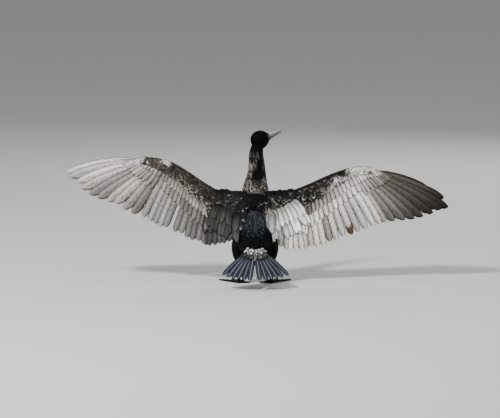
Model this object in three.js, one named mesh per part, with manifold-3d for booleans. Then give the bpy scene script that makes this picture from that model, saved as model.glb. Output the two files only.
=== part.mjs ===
// A young great cormorant at life size, standing with both wings held out to dry.
// Millimetres, +Z up. The bird faces +Y with its head turned to its right, which is +X.
// The origin is on the ground, under the middle of the box that holds the bird.

import * as THREE from 'three';
import { mergeVertices } from 'three/addons/utils/BufferGeometryUtils.js';
import Module from 'manifold-3d';

const wasm = await Module();
wasm.setup();

// Driving dimensions

const GAP = 0.3; // clearance between neighbouring pieces
const ORIGIN = new THREE.Vector3(7, 26, 0); // the box's middle, from the point between the ankles

// Torso, from the tail root (0) to the neck root (1)
const TORSO = {
  path: [[-86, 113], [-58, 123], [-20, 136], [24, 153], [64, 181], [94, 216], [115, 250], [128, 276]],
  halfWidth: [19, 43, 61, 72, 73, 68, 56, 34],
  halfHeight: [12, 32, 52, 64, 65, 57, 45, 32],
  sides: 24,
  steps: 14,
  square: 2.15, // above 2 its section is a little squarer than an oval
};

// Neck, from the shoulders (0) to the back of the head (1)
const NECK = {
  path: [[0, 116, 254], [2, 140, 296], [5, 153, 332], [5, 153, 370], [4, 148, 402], [11, 157, 440]],
  halfWidth: [52, 40, 31, 26, 22.5, 17],
  halfDepth: [46, 39, 31, 26, 23, 17],
  sides: 16,
  split: 0.52,
};

// Head and bill, measured along the skull from the back of the crown
const HEAD = {
  back: [-5, 134, 440],
  turn: 37, // degrees to the bird's right
  lift: 12, // degrees above the horizon
  length: 82,
  halfWidth: [6, 20, 26, 27.5, 26, 20.5, 13.5, 10.5],
  halfHeight: [6, 21, 28, 30, 27.5, 21.5, 14.5, 11.5],
  drop: [0, 0, 0, -1, -1, -1.5, -2, -2],
  sides: 18,
};
const BILL = {
  reach: [-8, 8, 24, 40, 52, 60, 65.5, 67.5],
  upperRise: [2.8, 2.3, 1.5, 1, 1.1, 0.9, -2.2, -8.4],
  upperHalfWidth: [9.6, 8.8, 7.2, 6, 5.3, 4.8, 3.6, 1.1],
  upperHalfHeight: [8.6, 7.3, 5.8, 4.9, 4.6, 4.6, 4.7, 2.6],
  lowerRise: [-9, -8.1, -6.9, -6.1, -5.8, -5.6],
  lowerHalfWidth: [10, 9, 7.2, 5.6, 4.4, 2.6],
  lowerHalfHeight: [5.8, 5.1, 4.2, 3.4, 2.9, 1.8],
  sides: 10,
};
const POUCH = { // of bare skin, under the lower half of the bill
  path: [[22, -12], [40, -16], [58, -15.5], [74, -12.5], [90, -10.5]],
  halfWidth: [9, 15, 13.5, 8.5, 3.5],
  halfHeight: [8, 12, 9.5, 5.5, 2],
  sides: 14,
};
const EYE = { along: 0.66, rise: 5.5, radius: 6, sunk: 3.4, lid: 1.3 };

// Legs: the right one, the left one is its mirror image
const LEG = {
  thighPath: [[32, 34, 154], [45, 12, 124], [51, -8, 94], [52, -25, 69]],
  thighHalfWidth: [24, 29, 21, 7.4],
  thighHalfDepth: [30, 36, 24, 8.8],
  shankPath: [[52, -27, 67], [52, -19, 46], [52, -10, 25], [52, -3, 8]],
  shankHalfWidth: [6.4, 4.6, 4.8, 6.4],
  shankHalfDepth: [8.4, 6.6, 6.6, 7.6],
};
const FOOT = {
  joint: [52, -3, 6],
  toes: [
    { name: 'hallux', heading: 82, length: 34, joints: 2 },
    { name: 'inner', heading: 14, length: 62, joints: 3 },
    { name: 'middle', heading: -14, length: 86, joints: 4 },
    { name: 'outer', heading: -40, length: 94, joints: 5 },
  ],
  hub: 7.4,
  toeHalf: [6, 4.6, 4, 3.4, 2.6],
  claw: { length: 9, rise: [2.6, 3, 0.9], halfWidth: [2.2, 1.7, 0.5], halfHeight: [2.4, 1.8, 0.6] },
  web: { thickness: 1.8, reach: 0.93, hollow: 0.22, hub: 0.04 }, // the last three as shares of a toe
};

// Wings, seen from behind: x is out from the body's midline, z is up, y is how far forward
const WINGS = {
  right: {
    side: 1,
    edge: { x: [46, 110, 300, 384, 502, 640], y: [84, 97, 128, 128, 112, 84], z: [290, 287, 358, 351, 315, 243] },
    bone: { x: [46, 138, 304, 374], z: [268, 236, 347, 344] },
    elbowFrom: 118,
    innerFoot: [178, 106],
    wristFoot: [414, 186],
    secondary: { angle: [8, 13, 19.5, 27, 33], length: [132, 154, 161, 178, 194] },
    primary: { angle: [36, 44, 52.5, 59, 65, 69.5, 76], length: [195, 213, 232, 254, 277, 280, 199] },
    tertial: { angle: [3, 7, 12], length: [142, 148, 138] },
    missing: [],
  },
  left: {
    side: -1,
    edge: { x: [46, 106, 266, 336, 454, 620], y: [84, 97, 124, 128, 119, 86], z: [290, 284, 378, 388, 391, 352] },
    bone: { x: [46, 138, 278, 356], z: [268, 243, 365, 379] },
    elbowFrom: 114,
    innerFoot: [170, 112],
    wristFoot: [378, 208],
    secondary: { angle: [10, 16, 22, 24, 29], length: [127, 141, 150, 170, 181] },
    primary: { angle: [38, 51, 60, 69, 78, 84], length: [188, 194, 214, 234, 246, 255] },
    tertial: { angle: [4, 7, 10], length: [128, 134, 128] },
    missing: [6],
  },
};
const SHEET = { slope: 0.55, flatten: 0.0009 }; // the wing leans back, less and less below its front edge
const ROOT_INSET = { inner: [16, -2], forearm: [6, -4], hand: [3, -5] }; // a row's ends, from the bone's
const FLESH = { margin: 14, top: 5.6, bottom: 7.6, slim: [1.35, 1, 0.85, 0.45], sides: 8, steps: 12 };

// A feather's outline: places along it (0 root, 1 tip) and its width there as a share of the full width.
// Its leading share is how much of the width lies on the outer side of its shaft.
const OUTLINES = {
  primary: { places: [0, 0.22, 0.58, 0.87, 1], widths: [0.35, 0.9, 1, 0.78, 0.22], leading: 0.34, ridge: 0.4 },
  secondary: { places: [0, 0.3, 0.86, 1], widths: [0.45, 1, 0.94, 0.4], leading: 0.42, ridge: 0 },
  covert: { places: [0, 0.55, 1], widths: [0.5, 1, 0.5], leading: 0.45, ridge: 0 },
};
const VANE_THICKNESS = 0.7;
const SHINGLE_STEP = 1.25; // from one feather's face to the same face of the one lying over it

// Rows of feathers on the three parts of a wing. root: how far down they are rooted, from the front
// edge (0) to the bone (1). sunk and lift: their height over the wing's sheet at the root and beyond.
// The last row of the hand, on the thumb, fills only the first part along it and aims as its outermost one.
const ROWS = {
  inner: [
    { count: 7, root: 1, sunk: -1, lift: 0, width: 26, outline: 'covert' },
    { count: 5, root: 0.9, sunk: 1, lift: 2.8, length: 92, width: 27, outline: 'covert' },
    { count: 4, root: 0.55, sunk: 2, lift: 5.6, length: 62, width: 30, outline: 'covert' },
  ],
  forearm: [
    { count: 12, root: 1, sunk: -1, lift: 0, width: 25, outline: 'secondary' },
    { count: 10, root: 0.92, sunk: 1, lift: 2.8, length: 88, width: 26, outline: 'covert' },
    { count: 8, root: 0.62, sunk: 2, lift: 5.4, length: 60, width: 29, outline: 'covert' },
    { count: 6, root: 0.25, sunk: 3, lift: 8, length: 48, width: 29, outline: 'covert' },
  ],
  hand: [
    { count: 10, root: 1, sunk: -1, lift: 0, width: 28, outline: 'primary' },
    { count: 7, root: 0.9, sunk: 0.5, lift: 2.8, length: 92, width: 21, outline: 'covert' },
    { count: 4, root: 0.6, sunk: 1, lift: 5, length: 54, width: 24, outline: 'covert' },
    { count: 3, root: 0.5, sunk: 1, lift: 7, length: 58, width: 14, outline: 'covert', along: 0.4, aim: 1 },
  ],
};
const TAPER = 0.85; // the last covert of a row is this much shorter than the first
const BOW = 0.045; // a feather's sideways bow, as a share of its length for each radian it points outwards

// Tail: half of each row of its fan, from the middle outwards. The middle pair is still short.
const TAIL = {
  root: [0, -84, 112],
  droop: 34, // degrees below the horizon
  start: 22, // from the point that the feathers fan out from to their roots
  apex: -16, // of the fan, from the root
  arch: 0.0016, // drop of the fan's sides, for each millimetre out from the middle, squared
  flesh: { reach: [-20, 0, 18, 34], halfWidth: [16, 18, 17, 12], halfHeight: [10, 9, 6, 3] },
  rows: {
    flight: {
      pairs: 6, middle: 6, spread: 7.2, length: 136, shorten: 0.006, width: 19,
      sunk: 0, lift: 0, outline: 'secondary',
    },
    growing: {
      pairs: 1, middle: 2.4, spread: 5, length: 46, shorten: 0, width: 8,
      sunk: 2, lift: 2.2, outline: 'covert',
    },
    coverts: {
      pairs: 3, middle: 7, spread: 13, length: 42, shorten: 0.03, width: 17,
      sunk: 3, lift: 4.2, outline: 'covert',
    },
  },
};

// Shapes

// A value read at t in 0..1 from a list of evenly spaced ones, on a smooth curve through them
function along(values, t) {
  const place = THREE.MathUtils.clamp(t, 0, 1) * (values.length - 1);
  const i = Math.min(Math.floor(place), values.length - 2);
  const f = place - i;
  const at = (k) => values[THREE.MathUtils.clamp(k, 0, values.length - 1)];
  const [a, b, c, d] = [at(i - 1), at(i), at(i + 1), at(i + 2)];
  return b + 0.5 * f * (c - a + f * (2 * a - 5 * b + 4 * c - d + f * (3 * (b - c) + d - a)));
}

// A value read at x from values given at rising places xs, straight between them
function between(xs, values, x) {
  let i = 0;
  while (i < xs.length - 2 && x > xs[i + 1]) i += 1;
  const f = (x - xs[i]) / (xs[i + 1] - xs[i]);
  return values[i] + f * (values[i + 1] - values[i]);
}

// The same on a smooth curve, whose slope at each place is that of the line past its neighbours
function eased(xs, values, x) {
  let i = 0;
  while (i < xs.length - 2 && x > xs[i + 1]) i += 1;
  const slope = (k) => {
    const low = Math.max(k - 1, 0);
    const high = Math.min(k + 1, xs.length - 1);
    return (values[high] - values[low]) / (xs[high] - xs[low]);
  };
  const span = xs[i + 1] - xs[i];
  const f = (x - xs[i]) / span;
  const [f2, f3] = [f * f, f * f * f];
  return (2 * f3 - 3 * f2 + 1) * values[i] + (3 * f2 - 2 * f3) * values[i + 1]
    + span * ((f3 - 2 * f2 + f) * slope(i) + (f3 - f2) * slope(i + 1));
}

// A closed surface through rings of points. Opposite points of a ring pair up across it, and both
// faces of a thin shape are split alike.
function loft(rings) {
  const n = rings[0].length;
  const position = rings.flat().flatMap((p) => [p.x, p.y, p.z]);
  const index = [];
  for (let r = 0; r + 1 < rings.length; r += 1) {
    for (let i = 0; i < n; i += 1) {
      const a = r * n + i;
      const b = r * n + ((i + 1) % n);
      const [c, d] = [a + n, b + n];
      if (i < n / 2) index.push(a, b, d, a, d, c);
      else index.push(a, b, c, b, d, c);
    }
  }
  const last = (rings.length - 1) * n;
  for (let k = 0; k + 1 < n / 2; k += 1) {
    const [a, b, c, d] = [k, k + 1, n - 2 - k, n - 1 - k];
    index.push(a, c, b, a, d, c);
    index.push(last + a, last + b, last + c, last + a, last + c, last + d);
  }
  const geometry = new THREE.BufferGeometry();
  geometry.setAttribute('position', new THREE.Float32BufferAttribute(position, 3));
  geometry.setIndex(index);
  return geometry;
}

// A geometry as a solid, with its shared points merged and its faces turned outwards
function solidOf(geometry) {
  const bare = geometry.clone();
  bare.deleteAttribute('normal');
  bare.deleteAttribute('uv');
  const merged = mergeVertices(bare, 1e-3);
  const position = merged.attributes.position;
  const corner = (i) => new THREE.Vector3().fromBufferAttribute(position, i);
  const faces = [];
  let volume = 0;
  for (let i = 0; i < merged.index.count; i += 3) {
    const [a, b, c] = [0, 1, 2].map((k) => merged.index.getX(i + k));
    if (a === b || b === c || c === a) continue;
    faces.push([a, b, c]);
    volume += corner(a).dot(corner(b).cross(corner(c)));
  }
  const turned = volume < 0 ? faces.map(([a, b, c]) => [a, c, b]) : faces;
  return new wasm.Manifold(new wasm.Mesh({
    numProp: 3,
    vertProperties: new Float32Array(position.array),
    triVerts: new Uint32Array(turned.flat()),
  }));
}

function union(solids) {
  return solids.reduce((sum, s) => sum.add(s));
}

// The largest closed body of a solid, without the scraps that a cut leaves
function largest(solid) {
  return solid.decompose().sort((a, b) => b.volume() - a.volume())[0];
}

// A tube of changing oval section along a path. The section's width lies along side, and grow
// makes it fatter and longer, for cutting its neighbours clear of it.
function tube({ path, halfWidth, halfHeight, side, sides = 16, steps = 12, grow = 0, square = 2 }) {
  const curve = new THREE.CatmullRomCurve3(path.map((p) => new THREE.Vector3(...p)));
  const rings = [];
  for (let s = 0; s <= steps; s += 1) {
    const t = s / steps;
    const centre = curve.getPoint(t);
    const forward = curve.getTangent(t);
    const across = new THREE.Vector3(...side).addScaledVector(forward, -forward.dot(new THREE.Vector3(...side)));
    across.normalize();
    const up = new THREE.Vector3().crossVectors(across, forward);
    if (s === 0) centre.addScaledVector(forward, -grow);
    if (s === steps) centre.addScaledVector(forward, grow);
    const [a, b] = [along(halfWidth, t) + grow, along(halfHeight, t) + grow];
    const ring = [];
    for (let i = 0; i < sides; i += 1) {
      const angle = (2 * Math.PI * (i + 0.5)) / sides;
      const [c, d] = [Math.cos(angle), Math.sin(angle)];
      const round = (v) => Math.sign(v) * Math.abs(v) ** (2 / square);
      ring.push(centre.clone().addScaledVector(across, a * round(c)).addScaledVector(up, b * round(d)));
    }
    rings.push(ring);
  }
  return solidOf(loft(rings));
}

// One feather as a thin, slightly cupped vane. place gives the point so far along it, so far to its
// leading side and so high over the surface that it lies on.
function vane(place, feather, row, spacing) {
  const { places, widths, leading, ridge } = OUTLINES[row.outline];
  const rings = places.map((share, k) => {
    const reach = feather.length * share;
    const width = row.width * widths[k];
    const rooted = Math.max(1 - share / places[1], 0);
    const base = row.lift + (row.sunk - row.lift) * rooted;
    const lean = SHINGLE_STEP / (spacing.root + (spacing.tip - spacing.root) * share);
    const corner = (aside, rise) => place(feather, reach, aside, base + lean * aside + rise);
    const [trail, lead] = [-(1 - leading) * width, leading * width];
    const [face, back] = [VANE_THICKNESS / 2, -VANE_THICKNESS / 2];
    return ridge > 0
      ? [corner(trail, face), corner(0, face + ridge), corner(lead, face),
        corner(lead, back), corner(0, back + ridge), corner(trail, back)]
      : [corner(trail, face), corner(lead, face), corner(lead, back), corner(trail, back)];
  });
  return solidOf(loft(rings));
}

// Torso, neck and head

function torso(grow = 0) {
  const path = TORSO.path.map(([y, z]) => [0, y, z]);
  return tube({ ...TORSO, path, side: [1, 0, 0], grow });
}

function neck(from, to, grow = 0) {
  const curve = new THREE.CatmullRomCurve3(NECK.path.map((p) => new THREE.Vector3(...p)));
  const places = [0, 1, 2, 3, 4, 5, 6].map((k) => from + ((to - from) * k) / 6);
  return tube({
    path: places.map((t) => curve.getPoint(t).toArray()),
    halfWidth: places.map((t) => along(NECK.halfWidth, t)),
    halfHeight: places.map((t) => along(NECK.halfDepth, t)),
    side: [1, 0, 0], sides: NECK.sides, steps: 6, grow,
  });
}

// The head's own directions: forward along the bill, to its right, and up
function headAxes() {
  const [turn, lift] = [HEAD.turn, HEAD.lift].map(THREE.MathUtils.degToRad);
  const forward = new THREE.Vector3(
    Math.sin(turn) * Math.cos(lift), Math.cos(turn) * Math.cos(lift), Math.sin(lift));
  const right = new THREE.Vector3(Math.cos(turn), -Math.sin(turn), 0);
  return { forward, right, up: new THREE.Vector3().crossVectors(right, forward) };
}

// A point of the head from how far it is forward of the crown's back, to the right and up
function headPoint(reach, right, rise) {
  const axes = headAxes();
  return new THREE.Vector3(...HEAD.back)
    .addScaledVector(axes.forward, reach)
    .addScaledVector(axes.right, right)
    .addScaledVector(axes.up, rise);
}

function skull(grow = 0) {
  const steps = HEAD.drop.length - 1;
  return tube({
    path: HEAD.drop.map((drop, k) => headPoint((HEAD.length * k) / steps, 0, drop).toArray()),
    halfWidth: HEAD.halfWidth, halfHeight: HEAD.halfHeight, side: headAxes().right.toArray(),
    sides: HEAD.sides, steps: 10, grow,
  });
}

function eyeCentre(side) {
  const width = along(HEAD.halfWidth, EYE.along) * 0.97;
  return headPoint(HEAD.length * EYE.along, side * (width - EYE.sunk), EYE.rise);
}

function eyeball(side, grow = 0) {
  const centre = eyeCentre(side);
  const ball = new THREE.SphereGeometry(EYE.radius + grow, 12, 8).translate(centre.x, centre.y, centre.z);
  return solidOf(ball);
}

function lidRing(side) {
  const ring = new THREE.TorusGeometry(EYE.radius - 0.6, EYE.lid, 5, 12);
  const outward = headAxes().right.multiplyScalar(side);
  ring.applyQuaternion(new THREE.Quaternion().setFromUnitVectors(new THREE.Vector3(0, 0, 1), outward));
  const centre = eyeCentre(side).addScaledVector(outward, EYE.sunk - 1.2);
  return solidOf(ring.translate(centre.x, centre.y, centre.z));
}

function mandible(kind, grow = 0) {
  const rise = BILL[`${kind}Rise`];
  return tube({
    path: rise.map((r, k) => headPoint(HEAD.length + BILL.reach[k], 0, r - 2).toArray()),
    halfWidth: BILL[`${kind}HalfWidth`], halfHeight: BILL[`${kind}HalfHeight`],
    side: headAxes().right.toArray(), sides: BILL.sides, steps: 8, grow,
  });
}

// The bare pouch of skin under the lower mandible, back to the throat
function pouch(grow = 0) {
  const path = POUCH.path.map(([reach, rise]) => headPoint(reach, 0, rise).toArray());
  return tube({ ...POUCH, path, side: headAxes().right.toArray(), steps: 8, grow });
}

// Wings

// The wing's curved sheet: the point at x out and z up, raised by height towards the back of the wing
function sheetPoint(wing, x, z, height) {
  const { edge } = wing;
  const depth = (px, pz) => {
    const below = eased(edge.x, edge.z, px) - pz;
    return eased(edge.x, edge.y, px) - SHEET.slope * below + SHEET.flatten * below * Math.max(below, 0);
  };
  const y = depth(x, z);
  const normal = new THREE.Vector3(depth(x + 1, z) - y, -1, depth(x, z + 1) - y).normalize();
  const p = new THREE.Vector3(x, y, z).addScaledVector(normal, height);
  p.x *= wing.side;
  return p;
}

// How far below the front edge the bone runs at x
function boneBelow(wing, x) {
  return eased(wing.edge.x, wing.edge.z, x) - between(wing.bone.x, wing.bone.z, x);
}

// The arm and its skin, from the front edge to just behind the bone, over the whole wing
function flesh(wing) {
  const rings = [];
  const xs = wing.bone.x;
  for (let s = 0; s <= FLESH.steps; s += 1) {
    const t = s / FLESH.steps;
    const x = xs[0] + (xs[xs.length - 1] - xs[0]) * t;
    const chord = boneBelow(wing, x) + FLESH.margin;
    const front = eased(wing.edge.x, wing.edge.z, x);
    const slim = along(FLESH.slim, t);
    const ring = [];
    for (let i = 0; i < FLESH.sides; i += 1) {
      const angle = (2 * Math.PI * (i + 0.5)) / FLESH.sides;
      const back = 0.5 - 0.5 * Math.cos(angle);
      const thick = Math.sin(angle) > 0 ? FLESH.top : -FLESH.bottom;
      ring.push(sheetPoint(wing, x, front - chord * back, slim * thick * Math.abs(Math.sin(angle)) ** 0.7));
    }
    rings.push(ring);
  }
  return solidOf(loft(rings));
}

// The feathers of one row, from the body outwards: where each is rooted, its direction and its size
function rowOf(wing, part, row) {
  const { bone, edge } = wing;
  const group = { inner: wing.tertial, forearm: wing.secondary, hand: wing.primary }[part];
  const joint = { inner: 0, forearm: 1, hand: 2 }[part];
  const [from, to] = ROOT_INSET[part].map((inset, k) => bone.x[joint + k] + inset);
  const feathers = [];
  for (let k = 0; k < row.count; k += 1) {
    const t = (k / (row.count - 1)) * (row.along ?? 1);
    const x = from + (to - from) * t;
    feathers.push({
      x,
      z: eased(edge.x, edge.z, x) - boneBelow(wing, x) * row.root,
      angle: THREE.MathUtils.degToRad(along(group.angle, row.aim ?? t)),
      length: row.length ? row.length * (1 + (TAPER - 1) * t) : along(group.length, t),
    });
  }
  return feathers;
}

// A point of a feather: so far along it, so far to its outer side, at a height over the wing's sheet.
// It bows outwards in the middle, the more the further out it points.
function featherPoint(wing, { x, z, angle, length }, reach, aside, height) {
  const share = reach / length;
  const lateral = aside + 4 * BOW * angle * length * share * (1 - share);
  return sheetPoint(
    wing,
    x + reach * Math.sin(angle) + lateral * Math.cos(angle),
    z - reach * Math.cos(angle) + lateral * Math.sin(angle),
    height,
  );
}

// The slab of space that holds one part of a wing, between two bent lines seen from behind
function region(wing, inner, outer) {
  const outline = [...inner, ...[...outer].reverse()];
  const shape = new THREE.Shape(outline.map(([x, z]) => new THREE.Vector2(x, z)));
  const slab = new THREE.ExtrudeGeometry(shape, { depth: 600, bevelEnabled: false });
  slab.rotateX(Math.PI / 2);
  slab.translate(0, 400, 0);
  slab.scale(wing.side, 1, 1);
  return solidOf(slab);
}

// The lines that part the wing at the elbow and at the wrist
function partingLines(wing) {
  const { bone, innerFoot, wristFoot, elbowFrom } = wing;
  const beyond = ([x0, z0], [x1, z1]) => [x1 + (x1 - x0), z1 + (z1 - z0)];
  const elbow = [bone.x[1], bone.z[1]];
  const wrist = [bone.x[2], bone.z[2]];
  const elbowLine = [[elbowFrom, 500], elbow, innerFoot, beyond(elbow, innerFoot)];
  const wristLine = [[bone.x[2] - 4, 500], wrist, wristFoot, beyond(wrist, wristFoot)];
  const shift = (line, by) => line.map(([x, z]) => [x + by, z]);
  return {
    inner: [[[-200, 500], [-200, -200]], [...shift(elbowLine, -GAP * 0.6), [300, -200]]],
    forearm: [[...shift(elbowLine, GAP * 0.6), [300, -200]], [...shift(wristLine, -GAP * 0.6), [600, -200]]],
    hand: [[...shift(wristLine, GAP * 0.6), [600, -200]], [[900, 500], [900, -200]]],
  };
}

// How far apart the feathers of a row are at their roots and at their tips
function spacingOf(feathers) {
  const [first, last] = [feathers[0], feathers[feathers.length - 1]];
  const apart = (a, b) => Math.hypot(a.x - b.x, a.z - b.z) / (feathers.length - 1);
  const tip = ({ x, z, angle, length }) => ({ x: x + length * Math.sin(angle), z: z - length * Math.cos(angle) });
  return { root: apart(first, last), tip: apart(tip(first), tip(last)) };
}

function wingPart(wing, part) {
  const vanes = ROWS[part].flatMap((row) => {
    const feathers = rowOf(wing, part, row);
    const spacing = spacingOf(feathers);
    const kept = feathers.filter((_, k) => !(row.root === 1 && part === 'forearm' && wing.missing.includes(k)));
    return kept.map((feather) => vane((...at) => featherPoint(wing, ...at), feather, row, spacing));
  });
  const whole = union([flesh(wing), ...vanes]);
  return largest(whole.intersect(region(wing, ...partingLines(wing)[part])));
}

// Tail

function tailPoint(lateral, reach, height) {
  const droop = THREE.MathUtils.degToRad(TAIL.droop);
  const arch = -TAIL.arch * lateral * lateral;
  return new THREE.Vector3(
    TAIL.root[0] + lateral,
    TAIL.root[1] - reach * Math.cos(droop) - (height + arch) * Math.sin(droop),
    TAIL.root[2] - reach * Math.sin(droop) + (height + arch) * Math.cos(droop),
  );
}

function tailFlesh() {
  const path = TAIL.flesh.reach.map((reach) => tailPoint(0, reach, 0).toArray());
  return tube({ ...TAIL.flesh, path, side: [1, 0, 0], sides: 10, steps: 4 });
}

// The point of a tail feather that fans out from the tail's root
function rectrixPoint({ angle, start }, reach, aside, height) {
  const out = start + reach;
  return tailPoint(
    out * Math.sin(angle) + aside * Math.cos(angle),
    TAIL.apex + out * Math.cos(angle) - aside * Math.sin(angle),
    height,
  );
}

// Half a fan of tail feathers, from the middle outwards. Each lies over the next one out.
function fan(side, row) {
  const spread = THREE.MathUtils.degToRad(row.spread);
  const spacing = { root: TAIL.start * spread, tip: (TAIL.start + row.length) * spread };
  const feathers = Array.from({ length: row.pairs }, (_, k) => ({
    angle: side * (THREE.MathUtils.degToRad(row.middle) + k * spread),
    start: TAIL.start,
    length: row.length * (1 - row.shorten * k),
  }));
  const mirrored = (feather, reach, aside, height) => rectrixPoint(feather, reach, side * aside, height);
  return feathers.map((feather) => vane(mirrored, feather, row, spacing));
}

function tail() {
  const vanes = Object.values(TAIL.rows).flatMap((row) => [...fan(1, row), ...fan(-1, row)]);
  return union([tailFlesh(), ...vanes]);
}

// Legs and feet

function thigh(side, grow = 0) {
  return tube({
    path: LEG.thighPath.map(([x, y, z]) => [side * x, y, z]), halfWidth: LEG.thighHalfWidth,
    halfHeight: LEG.thighHalfDepth, side: [1, 0, 0], sides: 16, steps: 8, grow,
  });
}

function shank(side, grow = 0) {
  return tube({
    path: LEG.shankPath.map(([x, y, z]) => [side * x, y, z]), halfWidth: LEG.shankHalfWidth,
    halfHeight: LEG.shankHalfDepth, side: [1, 0, 0], sides: 10, steps: 6, grow,
  });
}

// The point on the ground at a share of a toe's length
function toePoint(side, toe, share) {
  const heading = THREE.MathUtils.degToRad(toe.heading);
  const [x, y] = FOOT.joint;
  return new THREE.Vector3(
    side * (x - toe.length * share * Math.sin(heading)), y + toe.length * share * Math.cos(heading), 0);
}

// A toe lies a little sunk into the ground, which later cuts its sole flat
function toe(side, t) {
  const heading = THREE.MathUtils.degToRad(t.heading);
  const { toeHalf, claw } = FOOT;
  const stick = tube({
    path: toeHalf.map((half, k) => {
      const p = toePoint(side, t, k / (toeHalf.length - 1));
      return [p.x, p.y, half * 0.9];
    }),
    halfWidth: toeHalf, halfHeight: toeHalf,
    side: [Math.cos(heading), side * Math.sin(heading), 0], sides: 6, steps: 3,
  });
  const hook = tube({
    path: claw.rise.map((rise, k) => {
      const p = toePoint(side, t, 1 + (0.5 * k * claw.length) / t.length);
      return [p.x, p.y, rise];
    }),
    halfWidth: claw.halfWidth, halfHeight: claw.halfHeight, side: [1, 0, 0], sides: 5, steps: 2,
  });
  return stick.add(hook);
}

// The web between two toes, whose free edge is hollowed between their tips
function web(side, a, b) {
  const { thickness, reach, hollow, hub } = FOOT.web;
  const ankle = toePoint(side, a, 0);
  const rings = [0, 0.5, 1].map((f) => {
    const out = toePoint(side, a, reach).lerp(toePoint(side, b, reach), f);
    const rim = ankle.clone().lerp(out, 1 - hollow * Math.sin(Math.PI * f));
    const near = ankle.clone().lerp(out, hub);
    const lift = (p, z) => new THREE.Vector3(p.x, p.y, z);
    return [lift(near, thickness), lift(rim, thickness), lift(rim, 0), lift(near, 0)];
  });
  return solidOf(loft(rings));
}

function foot(side) {
  const { toes, joint } = FOOT;
  const hub = new THREE.SphereGeometry(FOOT.hub, 10, 6).translate(side * joint[0], joint[1], joint[2]);
  const webs = toes.slice(1).map((t, k) => web(side, toes[k], t));
  const all = union([solidOf(hub), ...toes.map((t) => toe(side, t)), ...webs]);
  const ground = solidOf(new THREE.BoxGeometry(600, 600, 40).translate(0, 0, -20));
  return all.subtract(ground);
}

// Assembly

const COLOURS = {
  plumage: { color: 0x17161a, roughness: 0.55, metalness: 0 },
  neck: { color: 0x2c2826, roughness: 0.7, metalness: 0 },
  flight: { color: 0x6b6661, roughness: 0.5, metalness: 0 },
  tail: { color: 0x1d2230, roughness: 0.5, metalness: 0 },
  bill: { color: 0xa9b0b8, roughness: 0.4, metalness: 0 },
  pouch: { color: 0xb9a878, roughness: 0.55, metalness: 0 },
  eye: { color: 0x1f5a4a, roughness: 0.1, metalness: 0 },
  leg: { color: 0x141416, roughness: 0.5, metalness: 0 },
};

const bird = new THREE.Group();

function add(name, solid, finish) {
  const mesh = largest(solid).getMesh();
  const geometry = new THREE.BufferGeometry();
  geometry.setAttribute('position', new THREE.Float32BufferAttribute(mesh.vertProperties, 3));
  geometry.setIndex(new THREE.BufferAttribute(mesh.triVerts, 1));
  geometry.computeVertexNormals();
  const piece = new THREE.Mesh(geometry, new THREE.MeshStandardMaterial(COLOURS[finish]));
  piece.name = name;
  bird.add(piece);
}

const bodyClear = torso(GAP);
const headClear = skull(GAP);
const upperNeckClear = neck(NECK.split, 1, GAP);
const lowerNeckClear = neck(0, NECK.split, GAP);
const upperBillClear = mandible('upper', GAP);
const lowerBillClear = mandible('lower', GAP);
const eyesClear = eyeball(1, GAP).add(eyeball(-1, GAP));

add('torso', torso(), 'plumage');
add('neck_lower', neck(0, NECK.split).subtract(bodyClear).subtract(upperNeckClear), 'neck');
add('neck_upper', neck(NECK.split, 1).subtract(headClear).subtract(bodyClear), 'neck');
add('head', union([skull(), lidRing(1), lidRing(-1)]).subtract(eyesClear), 'plumage');
add('bill_upper', mandible('upper').subtract(headClear), 'bill');
add('bill_lower', mandible('lower').subtract(headClear).subtract(upperBillClear), 'bill');
add('gular_pouch', pouch().subtract(headClear).subtract(upperBillClear)
  .subtract(lowerBillClear).subtract(upperNeckClear), 'pouch');
add('eye_right', eyeball(1), 'eye');
add('eye_left', eyeball(-1), 'eye');
add('tail', tail().subtract(bodyClear), 'tail');

for (const [name, wing] of Object.entries(WINGS)) {
  const legClear = thigh(wing.side, GAP);
  add(`wing_${name}_inner`, wingPart(wing, 'inner').subtract(bodyClear).subtract(lowerNeckClear)
    .subtract(legClear), 'flight');
  add(`wing_${name}_forearm`, wingPart(wing, 'forearm'), 'flight');
  add(`wing_${name}_hand`, wingPart(wing, 'hand'), 'flight');
  add(`thigh_${name}`, thigh(wing.side).subtract(bodyClear), 'plumage');
  add(`shank_${name}`, shank(wing.side).subtract(legClear), 'leg');
  add(`foot_${name}`, foot(wing.side).subtract(shank(wing.side, GAP)), 'leg');
}

bird.position.copy(ORIGIN).negate();

export default bird;
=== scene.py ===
"""A young great cormorant at life size, wings held out to dry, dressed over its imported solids."""

import math

import bpy
import numpy as np
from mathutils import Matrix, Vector


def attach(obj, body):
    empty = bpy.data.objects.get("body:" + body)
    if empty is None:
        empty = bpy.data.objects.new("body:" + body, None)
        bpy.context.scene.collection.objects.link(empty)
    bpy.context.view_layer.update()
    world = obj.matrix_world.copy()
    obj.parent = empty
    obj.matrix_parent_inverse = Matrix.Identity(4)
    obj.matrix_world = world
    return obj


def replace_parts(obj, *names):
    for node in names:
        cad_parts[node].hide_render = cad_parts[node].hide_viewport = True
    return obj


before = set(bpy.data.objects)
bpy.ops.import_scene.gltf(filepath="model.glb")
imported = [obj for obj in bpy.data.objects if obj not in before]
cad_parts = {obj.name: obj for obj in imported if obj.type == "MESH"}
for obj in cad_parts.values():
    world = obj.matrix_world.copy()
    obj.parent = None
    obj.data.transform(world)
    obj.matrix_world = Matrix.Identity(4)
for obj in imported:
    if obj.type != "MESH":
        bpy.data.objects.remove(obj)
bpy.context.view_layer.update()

# The camera stands twelve metres behind the bird and a little above it, with a long lens, as the
# photograph was taken. One pixel of the photograph is 3.2 mm at the bird.
CAMERA_DISTANCE = 12.0
CAMERA_ELEVATION = math.radians(6)
CAMERA_AIM = (-0.023, 0.0, 0.2356)
LENS_MM = 270
camera_data = bpy.data.cameras.new("camera")
camera_data.lens = LENS_MM
camera_data.sensor_width = 36
camera_data.clip_end = 100
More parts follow.
